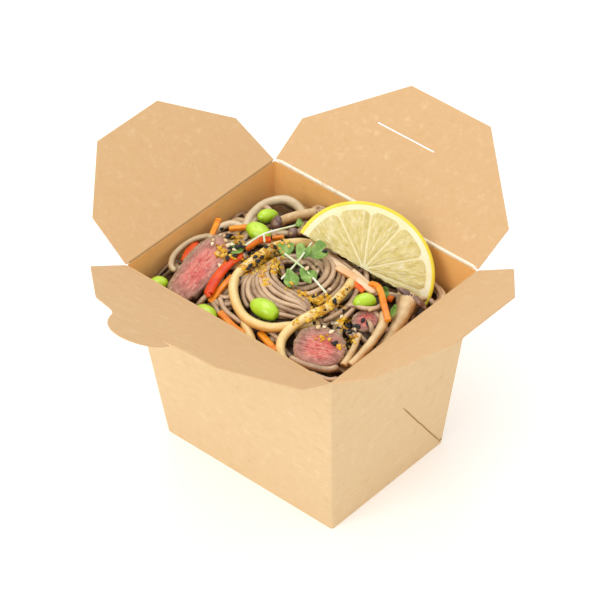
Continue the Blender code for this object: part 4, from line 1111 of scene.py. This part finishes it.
def makeLemon():
    across, out = lemon["steps"]
    bpy.ops.mesh.primitive_grid_add(x_subdivisions=across, y_subdivisions=out, size=2.0 * mm)
    wheel = bpy.context.object
    only(wheel)
    flesh, rims, turns = [], [], []
    for vertex in wheel.data.vertices:
        spot = vertex.co / mm
        turn = math.pi * (1.0 - spot.x) / 2.0
        radius = lemon["radius"] * (spot.y + 1.0) / 2.0
        flesh.append(lemonFlesh(turn, radius))
        rims.append(lemon["radius"] - radius)
        turns.append(turn)
    attributeFrom(wheel, "flesh", flesh)
    attributeFrom(wheel, "rim", rims)
    attributeFrom(wheel, "turn", turns)

    def roll(spot):
        turn = math.pi * (1.0 - spot.x) / 2.0
        radius = lemon["radius"] * max(0.004, (spot.y + 1.0) / 2.0)
        inside = lemonFlesh(turn, radius)
        lift = 0.28 * smoothStep(inside, 0.0, 1.3) * (0.6 + noise.noise((turn * 9.0, radius * 0.25, 2.0)))
        lift -= 0.9 * smoothStep(radius, lemon["radius"] - 0.9, lemon["radius"]) ** 2
        ragged = 0.35 * noise.noise((radius * 0.5, 7.0, 0.0)) + 0.30 * noise.noise((radius * 1.6, 3.0, 0.0))
        cut = abs(math.cos(turn)) ** 16 * ragged
        radius *= 1.0 + 0.006 * noise.noise((math.cos(turn) * 2.0, math.sin(turn) * 2.0, 5.0))
        return (radius * math.cos(turn), radius * math.sin(turn) * lemon["squash"] + cut, lift)

    reshape(wheel, roll)
    facesUp = wheel.data.polygons[0].normal.z > 0.0
    solidify(wheel, lemon["thickness"], -1.0 if facesUp else 1.0)
    placing = standing(lemon["centre"], lemon["normal"], lemon["cutLine"])
    reshape(wheel, lambda spot: placing @ spot)
    closeUp(wheel, 50.0)
    wheel.name = "lemon_wheel"
    served(wheel, "lemon", lemonPaint(), "lemon_half")


def lemonPaint():
    paint = foodPaint("lemon", 0.22, (1.0, 0.8, 0.3), 3.0, 0.30, 0.16, 0.45)
    place = paint.place()
    flesh, rim, turn = paint.attribute("flesh"), paint.attribute("rim"), paint.attribute("turn")
    radial = paint.node("ShaderNodeCombineXYZ", sockets={0: turn * 11.0, 1: rim * 0.16, 2: 0.0})
    sacs = paint.speckle(radial, 1.0, 3.0, 0.55, 0.5)
    fineRay = paint.node("ShaderNodeCombineXYZ", sockets={0: turn * 34.0, 1: rim * 0.30, 2: 3.0})
    rays = paint.speckle(fineRay, 1.0, 2.0, 0.5, 0.6)
    cloud = paint.speckle(place, 130.0, 2.0, 0.5)
    fine = paint.speckle(place, 1300.0, 2.0, 0.5)
    pulp = paint.ramp(sacs * 0.75 + cloud * 0.25, [
        (0.30, (0.64, 0.52, 0.155)), (0.46, (0.75, 0.63, 0.235)), (0.58, (0.82, 0.71, 0.33)),
        (0.74, (0.94, 0.87, 0.58))])
    pulp = paint.mix(paint.between(rays, 0.54, 0.68) * 0.65, pulp, (0.97, 0.92, 0.70))
    pulp = paint.mix(paint.between(rays, 0.46, 0.34) * 0.40, pulp, (0.60, 0.47, 0.12))
    pulp = paint.mix(paint.between(flesh, 2.2, 0.3) * 0.35, pulp, (0.66, 0.54, 0.17))
    white = paint.ramp(cloud, [(0.3, (0.95, 0.88, 0.52)), (0.7, (0.985, 0.95, 0.70))])
    skin = paint.ramp(cloud, [(0.3, (0.93, 0.70, 0.020)), (0.7, (0.97, 0.81, 0.060))])
    white = paint.mix(paint.between(rim, 4.2, 7.0) * paint.between(rim, 29.5, 27.5) * 0.75, white,
                      (0.90, 0.80, 0.44))
    colour = paint.mix(paint.between(flesh + (fine - 0.5) * 0.5, -0.05, 0.40), white, pulp)
    colour = paint.mix(paint.between(rim, lemon["rind"] + 0.25, lemon["rind"] - 0.25), colour, skin)
    height = sacs * 0.7 + rays * 0.4 + fine * 0.2
    wet = paint.between(flesh, 0.0, 0.6)
    return paint.finish(colour, wet * -0.16 + 0.46, height, 0.55, 0.7)


beans = {
    # place, (length, width, height), heading and tilt in degrees
    "bean_front_left": ((-46.8, -42.6, 92.0), (10.5, 7.5, 7.0), 85.0, 10.0),
    "bean_front": ((-16.7, -44.2, 92.8), (12.0, 7.8, 7.2), -5.0, 6.0),
    "bean_back": ((-36.2, 18.0, 99.0), (10.5, 6.8, 6.4), 71.0, 12.0),
    "bean_split": ((-30.1, 4.8, 101.0), (13.0, 9.0, 7.6), -3.0, 8.0),
    "bean_centre": ((6.4, -31.6, 100.2), (15.0, 9.4, 8.2), 0.0, 2.0),
    "bean_right": ((36.0, 0.8, 99.9), (10.8, 7.6, 7.6), 58.0, 0.0),
}


def makeBeans():
    material = beanPaint()
    for index, (name, (centre, size, heading, tilt)) in enumerate(beans.items()):
        bpy.ops.mesh.primitive_uv_sphere_add(segments=56, ring_count=36, radius=mm)
        bean = bpy.context.object
        seam = []
        for vertex in bean.data.vertices:
            spot = vertex.co / mm
            seam.append(abs(spot.y + 0.25) if name == "bean_split" and spot.z > -0.9 else 1.0)
        attributeFrom(bean, "seam", seam)
        placing = Matrix.Translation(centre) @ Matrix.Rotation(math.radians(heading), 4, "Z")
        placing = placing @ Matrix.Rotation(math.radians(tilt), 4, "Y")

        def grow(spot):
            # the ball's poles become the ends of the bean, which bends a little like a kidney
            length, side, high = spot.z, spot.x, spot.y
            bend = 0.12 * (1.0 - length * length)
            swell = 1.0 + 0.035 * noise.noise((length * 1.7, side * 1.7, index * 4.0))
            if name == "bean_split":
                groove = math.exp(-((high + 0.25 - 0.2 * length) / 0.10) ** 2)
                swell -= 0.05 * groove
                dent = math.hypot(length + 0.25, (side + 0.35) * 1.1) if high > 0.0 else 2.0
                swell -= 0.14 * (1.0 - smoothStep(dent, 0.0, 0.42))
            swell -= 0.05 * math.exp(-((length - 0.98) / 0.05) ** 2)
            return placing @ Vector((length * size[0] / 2.0 * swell, (side + bend) * size[1] / 2.0 * swell,
                                     high * size[2] / 2.0 * swell))

        reshape(bean, grow)
        closeUp(bean, 180.0)
        bean.name = name + "_seed"
        served(bean, "green_bean", material, name)


def beanPaint():
    paint = foodPaint("green_bean", 0.22, (0.6, 1.0, 0.2), 2.0, 0.40, 0.14, 0.5)
    place = paint.place()
    cloud = paint.speckle(place, 190.0, 2.0, 0.5)
    fine = paint.speckle(place, 1200.0, 2.0, 0.5)
    # lighter towards the top and darker below by the surface's facing: painted highlight and painted shade
    lift = paint.normal()[2] * 0.42 + 0.40 + (cloud - 0.5) * 0.5 + (fine - 0.5) * 0.08
    colour = paint.ramp(lift, [(0.10, (0.08, 0.21, 0.003)), (0.45, (0.34, 0.56, 0.008)),
                               (0.75, (0.50, 0.75, 0.020)), (0.95, (0.68, 0.86, 0.11))])
    seam = paint.between(paint.attribute("seam"), 0.10, 0.03)
    colour = paint.mix(seam * 0.8, colour, (0.70, 0.84, 0.28))
    return paint.finish(colour, (cloud - 0.5) * 0.1 + 0.30, fine * 0.5 + cloud * 0.5, 0.12, 0.4)


strips = {
    "pepper": {
        "pepper_long": ([(-23.6, -13.6, 103.6), (-24.0, -20.6, 103.0), (-23.2, -29.8, 101.0),
                         (-20.8, -38.4, 98.0)], 4.4),
        "pepper_short": ([(-26.0, -8.0, 102.0), (-23.9, -1.7, 104.2), (-20.6, 2.6, 103.6)], 3.6),
        "pepper_left": ([(-48.6, -23.6, 92.4), (-51.0, -18.0, 93.2), (-51.4, -12.1, 93.6)], 3.8),
        "pepper_right": ([(22.4, 6.8, 100.2), (30.2, 7.4, 98.6)], 3.4),
        "pepper_end": ([(35.2, 15.2, 93.4), (38.6, 16.6, 92.4)], 3.4),
    },
    "carrot": {
        "carrot_back_left": ([(-55.1, 5.95, 94.6), (-51.2, -1.2, 95.2), (-47.3, -8.4, 95.4)], 2.6),
        "carrot_left": ([(-46.2, 3.2, 95.6), (-39.4, 8.6, 97.0)], 2.4),
        "carrot_long": ([(-19.6, -23.4, 99.6), (-19.4, -32.0, 97.6), (-19.2, -38.6, 94.6)], 2.8),
        "carrot_front_left": ([(-11.2, -41.1, 95.0), (-1.4, -43.8, 94.8), (6.0, -44.6, 94.4)], 2.8),
        "carrot_front": ([(10.7, -39.2, 94.4), (24.0, -43.8, 94.2)], 3.0),
        "carrot_top": ([(-24.3, 7.6, 99.2), (-20.6, 11.4, 99.4)], 2.2),
        "carrot_bent": ([(29.8, 11.6, 100.2), (35.4, 11.0, 101.0), (45.0, 3.4, 101.2),
                         (51.6, -1.8, 99.8)], 2.8),
        "carrot_lemon": ([(12.6, 8.6, 101.8), (23.4, 10.4, 99.6), (33.0, 10.6, 96.6)], 3.4),
    },
    "thickness": {"pepper": 2.2, "carrot": 2.0},
    "power": {"pepper": 2.8, "carrot": 5.5},     # how square the section is
    "waver": {"pepper": 0.06, "carrot": 0.035},
    "slot": {"pepper": "red_pepper", "carrot": "carrot"},
    "ribbon": "carrot_lemon",    # broad, thin and paler than the other carrot
}


def makeStrips():
    paints = {"pepper": pepperPaint(), "carrot": carrotPaint()}
    ribbon = noodlePaint("carrot_ribbon", (0.62, 0.22, 0.05), (0.82, 0.42, 0.16), (0.92, 0.62, 0.36),
                         (0.80, 0.26, 0.03), 0.30, 0.32)
    for kind, material in paints.items():
        for index, (name, (route, width)) in enumerate(strips[kind].items()):
            thickness = strips["thickness"][kind]
            section = ringSection("section_" + name, 28, strips["power"][kind], thickness / width)
            line = denseEnds(smoothLine(route, 0.5), width * 0.3)
            radii = []
            for step in range(len(line)):
                end = min(step, len(line) - 1 - step)
                cut = (0.80, 0.93, 1.0)[min(end, 2)]
                wave = 1.0 + strips["waver"][kind] * noise.noise((step * 0.08, index * 3.0, 0.0))
                radii.append(width / 2.0 * cut * wave)
            tilts = [0.20 * noise.noise((step * 0.03, index * 7.0, 2.0)) for step in range(len(line))]
            strand = sweep(name + "_strip", line, section, radii, (index * 0.61) % 1.0, tilts)
            bpy.data.objects.remove(section)
            closeUp(strand, 50.0)
            served(strand, strips["slot"][kind], ribbon if name == strips["ribbon"] else material, name)


def pepperPaint():
    paint = foodPaint("red_pepper", 0.02, (1.0, 0.3, 0.1), 1.0, 0.15, 0.10, 0.25)
    place = paint.place()
    tone = paint.attribute("tone")
    cloud = paint.speckle(place, 120.0, 2.0, 0.5)
    fine = paint.speckle(place, 1000.0, 2.0, 0.5)
    lift = tone * 0.16 + cloud * 0.7 + 0.06
    colour = paint.ramp(lift, [(0.25, (0.60, 0.022, 0.001)), (0.46, (0.82, 0.095, 0.001)),
                               (0.66, (0.93, 0.230, 0.002))])
    colour = paint.mix(paint.between(fine, 0.60, 0.78) * 0.15, colour, (0.95, 0.30, 0.06))
    return paint.finish(colour, (fine - 0.5) * 0.10 + 0.26, fine * 0.6 + cloud * 0.4, 0.12, 0.4)


def carrotPaint():
    paint = foodPaint("carrot", 0.15, (1.0, 0.45, 0.1), 1.5, 0.22, 0.22, 0.45)
    place = paint.place()
    cloud = paint.speckle(place, 160.0, 2.0, 0.5)
    fibre = paint.speckle(paint.stretched(place, (900.0, 300.0, 900.0)), 1.0, 3.0, 0.55)
    lift = cloud * 0.5 + fibre * 0.5
    colour = paint.ramp(lift, [(0.32, (0.74, 0.150, 0.002)), (0.50, (0.89, 0.270, 0.004)),
                               (0.66, (0.95, 0.400, 0.020))])
    return paint.finish(colour, (fibre - 0.5) * 0.12 + 0.36, fibre, 0.16, 0.5)


mushrooms = {
    "capAlong": (0.86, 0.40, -0.33),
    "underside": 0.45,       # how far a cap bulges below its rim, as a share of its height
    # stem's line, its radius at both ends, and the cap on its first end
    "grown": {
        "mushroom_back": (
            [(-29.4, 17.8, 99.2), (-27.6, 25.4, 98.4), (-24.0, 35.4, 96.4)], (2.3, 2.5),
            {"centre": (-29.2, 16.6, 99.2), "axis": (-0.5, -0.7, 0.4), "radius": 3.8, "height": 3.0,
             "narrow": 1.0}),
        "mushroom_small": (
            [(-19.0, 16.2, 99.8), (-17.6, 19.0, 98.0)], (1.3, 1.1),
            {"centre": (-19.0, 15.6, 100.0), "axis": (-0.2, -0.5, 0.8), "radius": 2.6, "height": 2.2,
             "narrow": 1.0}),
        "mushroom_right": (
            [(44.2, 21.0, 93.6), (49.4, 10.0, 93.2), (53.4, -4.0, 91.6), (54.8, -15.0, 90.6)], (4.3, 1.4),
            {"centre": (45.2, 21.4, 93.6), "axis": (0.1, 0.75, 0.6), "radius": 8.0, "height": 2.8,
             "narrow": 0.55}),
        "mushroom_stem": (
            [(45.8, 2.6, 97.6), (49.8, -3.6, 97.0), (52.4, -13.0, 96.0), (53.4, -21.0, 94.8),
             (53.6, -29.0, 93.4)], (2.3, 1.6), None),
        "mushroom_sliver": (
            [(45.8, -13.8, 96.8), (49.4, -22.6, 95.2), (51.2, -31.0, 93.0)], (1.1, 1.8), None),
    },
}


def gillSection(name, sides, ripple):
    points = []
    for index in range(sides):
        turn = math.tau * (index + 0.5) / sides
        size = 1.0 + (ripple if index % 2 else -ripple)
        points.append((math.cos(turn) * size, math.sin(turn) * size))
    return sectionCurve(name, points)


def makeMushrooms():
    stemPaint, capPaint = mushroomPaints()
    for index, (name, (route, radii, cap)) in enumerate(mushrooms["grown"].items(), 1):
        section = gillSection("section_" + name, 40, 0.035)
        line = denseEnds(smoothLine(route, 0.8), 0.8)
        sizes = []
        for step in range(len(line)):
            share = step / (len(line) - 1)
            end = min(step, len(line) - 1 - step)
            rounding = (0.45, 0.8, 1.0)[min(end, 2)]
            wave = 1.0 + 0.10 * noise.noise((step * 0.22, index * 5.0, 0.0))
            sizes.append(lerp(radii[0], radii[1], share) * rounding * wave)
        stem = sweep(name + "_stem", line, section, sizes, (index * 0.43) % 1.0)
        bpy.data.objects.remove(section)
        closeUp(stem, 60.0)
        stem.name = name + "_stalk"
        served(stem, "mushroom", stemPaint, name)
        if not cap:
            continue
        bpy.ops.mesh.primitive_uv_sphere_add(segments=72, ring_count=40, radius=mm)
        dome = bpy.context.object
        placing = standing(cap["centre"], cap["axis"], mushrooms["capAlong"])

        def spread(spot):
            high = cap["height"] if spot.z > 0.0 else cap["height"] * mushrooms["underside"]
            wave = 1.0 + 0.05 * noise.noise((spot.x * 2.0, spot.y * 2.0, index * 2.0))
            flat = cap["radius"] * wave
            gill = 0.0
            if spot.z < -0.15:
                gill = 0.10 * math.sin(36.0 * math.atan2(spot.y, spot.x))
            return placing @ Vector((spot.x * flat, spot.y * flat * cap["narrow"], spot.z * high + gill))

        reshape(dome, spread)
        closeUp(dome, 70.0)
        dome.name = name + "_cap"
        served(dome, "mushroom", capPaint, name)


def mushroomPaints():
    stem = foodPaint("mushroom_stem", 0.15, (1.0, 0.6, 0.35), 1.5, 0.15, 0.3, 0.4)
    place = stem.place()
    cloud = stem.speckle(place, 170.0, 3.0, 0.55)
    fibre = stem.speckle(stem.stretched(place, (900.0, 220.0, 900.0), (0.0, 0.0, 0.35)), 1.0, 3.0, 0.6)
    # lighter towards the top and darker below by the surface's facing: painted highlight and painted shade
    lift = stem.normal()[2] * 0.30 + cloud * 0.45 + fibre * 0.35
    colour = stem.ramp(lift, [(0.30, (0.24, 0.095, 0.025)), (0.52, (0.60, 0.36, 0.145)),
                              (0.78, (0.84, 0.62, 0.34))])
    stemMaterial = stem.finish(colour, (fibre - 0.5) * 0.1 + 0.42, fibre, 0.25, 0.6)
    cap = Paint("mushroom_cap", {"Coat Roughness": 0.15, "Coat Weight": 0.40, "Specular IOR Level": 0.5})
    place = cap.place()
    cloud = cap.speckle(place, 210.0, 3.0, 0.55)
    fine = cap.speckle(place, 1200.0, 2.0, 0.5)
    colour = cap.ramp(cloud, [(0.32, (0.055, 0.020, 0.015)), (0.52, (0.165, 0.078, 0.056)),
                              (0.68, (0.40, 0.26, 0.19))])
    return stemMaterial, cap.finish(colour, (fine - 0.5) * 0.1 + 0.28, fine + cloud * 0.5, 0.12, 0.4)


greens = {
    "leafThickness": 0.35,
    "leafGrow": (1.06, 1.14),    # a sprig's leaves are drawn this much longer and wider
    "leafNotch": 0.26,
    "stemRadius": 0.50,
    "sprigs": {
        "sprig_left": (
            [[(-24.6, -11.8, 105.8), (-22.6, 0.4, 107.0), (-16.4, 14.9, 106.4)],
             [(-22.6, 0.4, 107.0), (-18.6, -3.4, 107.0)]],
            [((-25.6, -13.4, 105.9), (0.1, -0.2, 1.0), (-0.5, -0.8, 0.0), 6.5, 6.0),
             ((-16.0, 16.4, 106.4), (0.1, -0.2, 1.0), (0.3, 1.0, 0.0), 4.0, 3.4)],
        ),
        "sprig_centre": (
            [[(-6.9, -3.6, 107.2), (8.0, -6.5, 107.8), (24.0, -10.6, 105.8)],
             [(3.4, -17.0, 106.6), (2.0, -5.4, 107.6), (-2.4, 10.0, 107.4)]],
            [((-7.6, -1.6, 107.4), (0.2, -0.3, 1.0), (-0.6, 0.8, 0.0), 7.0, 6.4),
             ((-0.6, 1.6, 107.8), (0.2, -0.4, 1.0), (-0.2, 1.0, 0.1), 7.4, 6.6),
             ((4.0, 6.0, 107.8), (0.1, -0.4, 1.0), (0.6, 0.8, 0.1), 9.0, 8.0),
             ((6.4, -14.0, 106.9), (0.1, -0.3, 1.0), (0.8, -0.6, 0.0), 9.0, 6.0),
             ((11.0, -8.6, 107.6), (0.2, -0.2, 1.0), (0.9, -0.1, 0.0), 8.0, 6.4)],
        ),
    },
    "leaves": {
        "herb_leaf_back": ((36.6, 13.4, 97.4), (0.5, -0.3, 0.8), (0.4, -0.6, -0.4), 5.5, 3.6),
        "herb_leaf_front": ((48.1, 5.7, 98.2), (0.5, -0.3, 0.8), (0.35, -0.9, -0.25), 6.5, 2.4),
    },
}


def makeLeaf(centre, normal, along, length, width, notch=0.0):
    # a thin wavy blade with a sunken midrib; notch pulls in the middle of its far end
    bpy.ops.mesh.primitive_grid_add(x_subdivisions=30, y_subdivisions=22, size=2.0 * mm)
    blade = bpy.context.object
    only(blade)
    ribs = [abs(vertex.co.y / mm) for vertex in blade.data.vertices]
    attributeFrom(blade, "rib", ribs)
    placing = standing(centre, normal, along)

    def unfold(spot):
        t = (spot.x + 1.0) / 2.0
        swell = (0.10 + 0.85 * t) ** (1.75 if notch else 1.2)
        half = width / 2.0 * math.sin(math.pi * swell) ** 0.62
        x = (t - 0.5) * length - notch * length * t ** 6 * (1.0 - abs(spot.y)) ** 1.5
        y = spot.y * half
        wave = 0.5 * math.cos(2.6 * math.pi * t) + 0.9 * (y / width * 2.0) ** 2
        wave -= 0.18 * math.exp(-(spot.y / 0.14) ** 2)
        return placing @ Vector((x, y, wave))

    reshape(blade, unfold)
    solidify(blade, greens["leafThickness"], 0.0)
    return blade


def makeGreens():
    leafMaterial, stemMaterial = greenPaints()
    for name, (stems, leaves) in greens["sprigs"].items():
        section = ringSection("section_" + name, 12)
        threads = []
        for route in stems:
            threads.append(strandAlong("stem", route, section, greens["stemRadius"], 0.5, 0.9, 0.08))
        bpy.data.objects.remove(section)
        stalk = joinAll(threads, name + "_stems")
        closeUp(stalk, 180.0)
        served(stalk, "greens", stemMaterial, name)
        blades = []
        longer, wider = greens["leafGrow"]
        notch = greens["leafNotch"]
        for centre, normal, along, length, width in leaves:
            blades.append(makeLeaf(centre, normal, along, length * longer, width * wider, notch))
        crown = joinAll(blades, name + "_leaves")
        closeUp(crown, 40.0)
        served(crown, "greens", leafMaterial, name)
    for name, leaf in greens["leaves"].items():
        blade = makeLeaf(*leaf)
        closeUp(blade, 40.0)
        blade.name = name + "_blade"
        served(blade, "greens", leafMaterial, name)


def greenPaints():
    leaf = foodPaint("leaf", 0.18, (0.5, 1.0, 0.2), 1.0, 0.12, 0.3, 0.4)
    place = leaf.place()
    cloud = leaf.speckle(place, 260.0, 3.0, 0.55)
    veins = leaf.cells(place, 900.0)
    rib = leaf.between(leaf.attribute("rib"), 0.16, 0.02)
    broad = leaf.speckle(place, 75.0, 2.0, 0.5)
    colour = leaf.ramp(cloud * 0.6 + broad * 0.4, [
        (0.34, (0.085, 0.190, 0.022)), (0.50, (0.215, 0.370, 0.065)), (0.64, (0.440, 0.580, 0.170))])
    colour = leaf.mix(rib * 0.55, colour, (0.42, 0.60, 0.22))
    leafMaterial = leaf.finish(colour, (cloud - 0.5) * 0.2 + 0.46, veins + cloud, 0.10, 0.4)
    stem = Paint("stem", {"Subsurface Weight": 0.15, "Subsurface Scale": 0.001, "Coat Weight": 0.2,
                          "Coat Roughness": 0.2})
    cloud = stem.speckle(stem.place(), 90.0, 2.0, 0.5)
    colour = stem.ramp(cloud, [(0.35, (0.62, 0.72, 0.36)), (0.60, (0.88, 0.88, 0.72))])
    return leafMaterial, stem.finish(colour, (cloud - 0.5) * 0.1 + 0.35, cloud, 0.05, 0.3)


# Crumbs and sesame: each is set down on whatever the eye's line meets first

scatter = {
    "level": 100.0,      # the places below are where the eye's line passes this height
    "black": {
        "loop": [(-24.6, -6.5), (-18.4, -5.6), (-21.2, 0.7), (-18.8, 3.1), (-15.4, -23.3), (-17.9, -15.5),
                 (-18.3, -13.2), (0.1, 15.2), (-17.5, -9.1), (-20.6, -7.8), (-16.4, -18.5), (-19.4, 8.9)],
        "right": [(24.6, 2.2), (25.6, -7.1), (27.9, -8.5), (26.7, -14.6), (30.6, -10.3), (33.1, -9.4),
                  (28.8, -23.6), (16.6, -11.4), (29.0, -18.5)],
        "beefFront": [(40.8, -15.0), (41.0, -16.5), (42.6, -15.9), (41.6, -18.4), (43.2, -17.8),
                      (43.0, -14.7), (45.0, -17.1), (41.8, -19.9), (43.5, -13.8), (45.9, -22.1),
                      (44.0, -28.7), (43.9, -27.6), (43.6, -9.2), (46.7, -9.9), (44.7, -13.2),
                      (38.7, -19.5), (38.8, -15.8), (44.8, -19.0)],
        "beefLeft": [(-44.8, -2.9), (-39.2, -4.7), (-39.2, -6.0), (-32.9, -4.1), (-31.0, -6.8),
                     (-33.0, -10.3), (-29.0, -16.4), (-28.1, -13.1), (-28.9, -5.9), (-31.4, -1.9),
                     (-38.5, -3.6), (-31.2, -5.3), (-31.2, -7.8), (-31.1, -13.0)],
    },
    "white": {
        "beefFront": [(37.6, -9.4), (36.0, -18.3), (33.6, -18.7), (31.8, -24.8), (33.7, -23.2),
                      (38.2, -23.3), (44.9, -15.3), (50.5, -12.4), (41.8, -1.6), (34.9, -13.3)],
        "beefLeft": [(-43.1, -6.2), (-42.6, -11.0), (-34.9, -9.3), (-30.8, -10.1), (-28.5, -22.0),
                     (-40.9, -13.5), (-38.2, -7.7), (-34.9, -16.3), (-41.0, -5.8), (-34.1, -7.8)],
        "nest": [(2.9, 4.1), (7.4, 2.8), (-1.6, 2.8), (18.2, -2.4), (2.9, 6.7), (1.9, 1.5)],
    },
    "crumb": {
        "loop": [(-21.5, -16.5), (-22.1, -12.2), (-22.0, -7.8), (-21.8, -5.0), (-21.0, -0.8), (-20.0, 3.1),
                 (-18.9, 7.0), (-17.2, 10.2), (-16.4, -15.9), (-19.2, -16.6), (-19.5, -5.6), (-17.9, -1.7)],
        "nest": [(-17.0, -12.1), (-15.6, -9.2), (-14.6, -6.6), (-10.5, -7.4), (-6.6, -9.2), (-16.1, -3.6),
                 (-13.4, -0.4), (-11.3, -11.5), (-9.3, -15.0), (-5.2, -18.3), (-12.5, -3.9), (-8.0, -7.0),
                 (-13.8, -13.7)],
        "right": [(17.2, -12.6), (20.4, -13.2), (21.1, -10.1), (23.8, -9.5), (24.3, -13.2), (24.5, -16.5),
                  (25.9, -19.4), (26.3, -9.8), (11.8, -12.2), (15.4, -12.5), (26.7, -17.1), (20.7, -14.7),
                  (21.4, -7.3)],
        "udon": [(24.4, 3.7), (25.5, -1.3), (30.3, -8.1), (22.6, -28.1), (25.2, -24.2), (4.3, -12.6),
                 (26.3, -4.8)],
        "beefFront": [(36.2, -14.8), (36.5, -13.2), (37.5, -16.9), (39.5, -17.3), (39.2, -13.8),
                      (47.1, -28.5), (47.4, -20.1), (48.4, -22.5), (38.1, -28.8)],
        "beefLeft": [(-37.0, -3.3), (-34.9, -3.7), (-31.8, -4.0), (-35.7, -13.5), (-33.4, -14.1),
                     (-28.1, -14.3), (-35.0, -2.4), (-34.0, -5.9), (-33.6, -17.7), (-31.5, -16.8),
                     (-37.0, -5.9)],
    },
    # half sizes: length, width, height
    "blackSize": (1.40, 1.02, 0.62),
    "whiteSize": (1.35, 0.92, 0.60),
    "crumbSize": (0.75, 1.20),   # smallest and largest radius
    "seedGrow": (0.86, 1.12),
    "clumps": 7,                 # smaller crumbs round each placed one, twice as many in a dense group
    "clumpSpread": 1.4,
    "clumpShare": (0.42, 0.90),
    "dense": ("nest", "right"),
}


def touch(spot, graph):
    # where the eye's line through a place at the level meets the food, and the surface's normal
    eye = Vector(view["place"])
    aim = Vector((spot[0], spot[1], scatter["level"])) * mm
    hit, place, normal = bpy.context.scene.ray_cast(graph, eye, (aim - eye).normalized())[:3]
    return (place / mm, normal) if hit else None


def makeSeeds(kind, name, size, point, rng):
    # point narrows one end, as a sesame seed has
    graph = bpy.context.evaluated_depsgraph_get()
    landings = []
    for spots in scatter[kind].values():
        landings.extend(touch(spot, graph) for spot in spots)
    seeds = []
    for place, normal in [landing for landing in landings if landing]:
        bpy.ops.mesh.primitive_uv_sphere_add(segments=20, ring_count=14, radius=mm)
        seed = bpy.context.object
        heading = rng.uniform(0.0, math.tau)
        up = (normal * 0.75 + Vector((0.0, 0.0, 0.25))).normalized()
        placing = standing(place + up * size[2] * 0.55, up, (math.cos(heading), math.sin(heading), 0.05))
        grow = rng.uniform(*scatter["seedGrow"])

        def husk(spot):
            t = spot.z
            narrow = 1.0 - point * smoothStep(t, -0.4, 1.0)
            return placing @ Vector((t * size[0] * grow, spot.x * size[1] * grow * narrow,
                                     spot.y * size[2] * grow * (0.5 + 0.5 * narrow)))

        reshape(seed, husk)
        attributeFrom(seed, "tone", [rng.random()] * len(seed.data.vertices))
        seeds.append(seed)
    seeds = joinAll(seeds, name)
    closeUp(seeds, 180.0)
    return seeds


def makeCrumbs(rng):
    graph = bpy.context.evaluated_depsgraph_get()
    spots = []
    for group, members in scatter["crumb"].items():
        clump = scatter["clumps"] * (2 if group in scatter["dense"] else 1)
        for spot in members:
            spots.append((spot, 1.0))
            for _ in range(clump):
                near = [part + rng.gauss(0.0, scatter["clumpSpread"]) for part in spot]
                spots.append((near, rng.uniform(*scatter["clumpShare"])))
    landings = [(touch(spot, graph), share) for spot, share in spots]
    crumbs = []
    for landing, share in landings:
        if not landing:
            continue
        place, normal = landing
        radius = rng.uniform(*scatter["crumbSize"]) * share
        bpy.ops.mesh.primitive_ico_sphere_add(subdivisions=2, radius=mm)
        crumb = bpy.context.object
        seed = rng.uniform(0.0, 50.0)
        stretch = Vector((rng.uniform(0.7, 1.25), rng.uniform(0.7, 1.25), rng.uniform(0.6, 0.9)))
        middle = place + normal * radius * 0.35

        def crumble(spot):
            lump = noise.noise(spot * 1.3 + Vector((seed, 0.0, 0.0)))
            grit = noise.noise(spot * 3.1 + Vector((0.0, seed, 0.0)))
            size = radius * (1.0 + 0.45 * lump + 0.22 * grit)
            return middle + Vector((spot.x * stretch.x, spot.y * stretch.y, spot.z * stretch.z)) * size

        reshape(crumb, crumble)
        attributeFrom(crumb, "tone", [rng.random()] * len(crumb.data.vertices))
        crumbs.append(crumb)
    crumbs = joinAll(crumbs, "crumbs")
    closeUp(crumbs, 40.0)
    return crumbs


def makeScatter():
    rng = random.Random(11)
    crumbs = makeCrumbs(rng)
    black = makeSeeds("black", "black_sesame", scatter["blackSize"], 0.55, rng)
    white = makeSeeds("white", "white_sesame", scatter["whiteSize"], 0.50, rng)
    served(crumbs, "noodle", crumbPaint())
    served(black, "noodle", seedPaint("black_sesame", (0.006, 0.005, 0.005), (0.022, 0.017, 0.015)))
    served(white, "noodle", seedPaint("white_sesame", (0.72, 0.52, 0.26), (0.93, 0.80, 0.55)))


def crumbPaint():
    paint = Paint("crumb", {"Subsurface Weight": 0.08, "Subsurface Scale": 0.001, "Coat Weight": 0.15,
                            "Coat Roughness": 0.3, "Specular IOR Level": 0.4})
    place = paint.place()
    tone = paint.attribute("tone")
    grit = paint.speckle(place, 1500.0, 3.0, 0.6)
    colour = paint.ramp(tone * 0.65 + grit * 0.35, [
        (0.15, (0.40, 0.150, 0.006)), (0.38, (0.72, 0.340, 0.008)), (0.62, (0.86, 0.500, 0.020)),
        (0.85, (0.93, 0.66, 0.12))])
    return paint.finish(colour, (grit - 0.5) * 0.2 + 0.5, grit, 0.3, 0.7)


def seedPaint(name, dark, pale):
    paint = Paint(name, {"Coat Roughness": 0.2, "Coat Weight": 0.12, "Specular IOR Level": 0.35})
    tone = paint.attribute("tone")
    grain = paint.speckle(paint.place(), 2200.0, 2.0, 0.5)
    colour = paint.ramp(tone * 0.5 + grain * 0.5, [(0.30, dark), (0.75, pale)])
    return paint.finish(colour, (grain - 0.5) * 0.1 + 0.34, grain, 0.06, 0.4)


bpy.ops.object.select_all(action="DESELECT")
bpy.context.scene.view_settings.view_transform = "Standard"
addCamera()
addLights()
addFloor()
dressBoard()
makeFolds()
makeGussets()
print("stage: board dressed")
makeNoodles()
print("stage: noodles laid")
makeBeef()
makeLemon()
makeBeans()
makeStrips()
makeMushrooms()
print("stage: toppings laid")
makeScatter()
makeGreens()
print("stage: seeds, crumbs and greens laid")
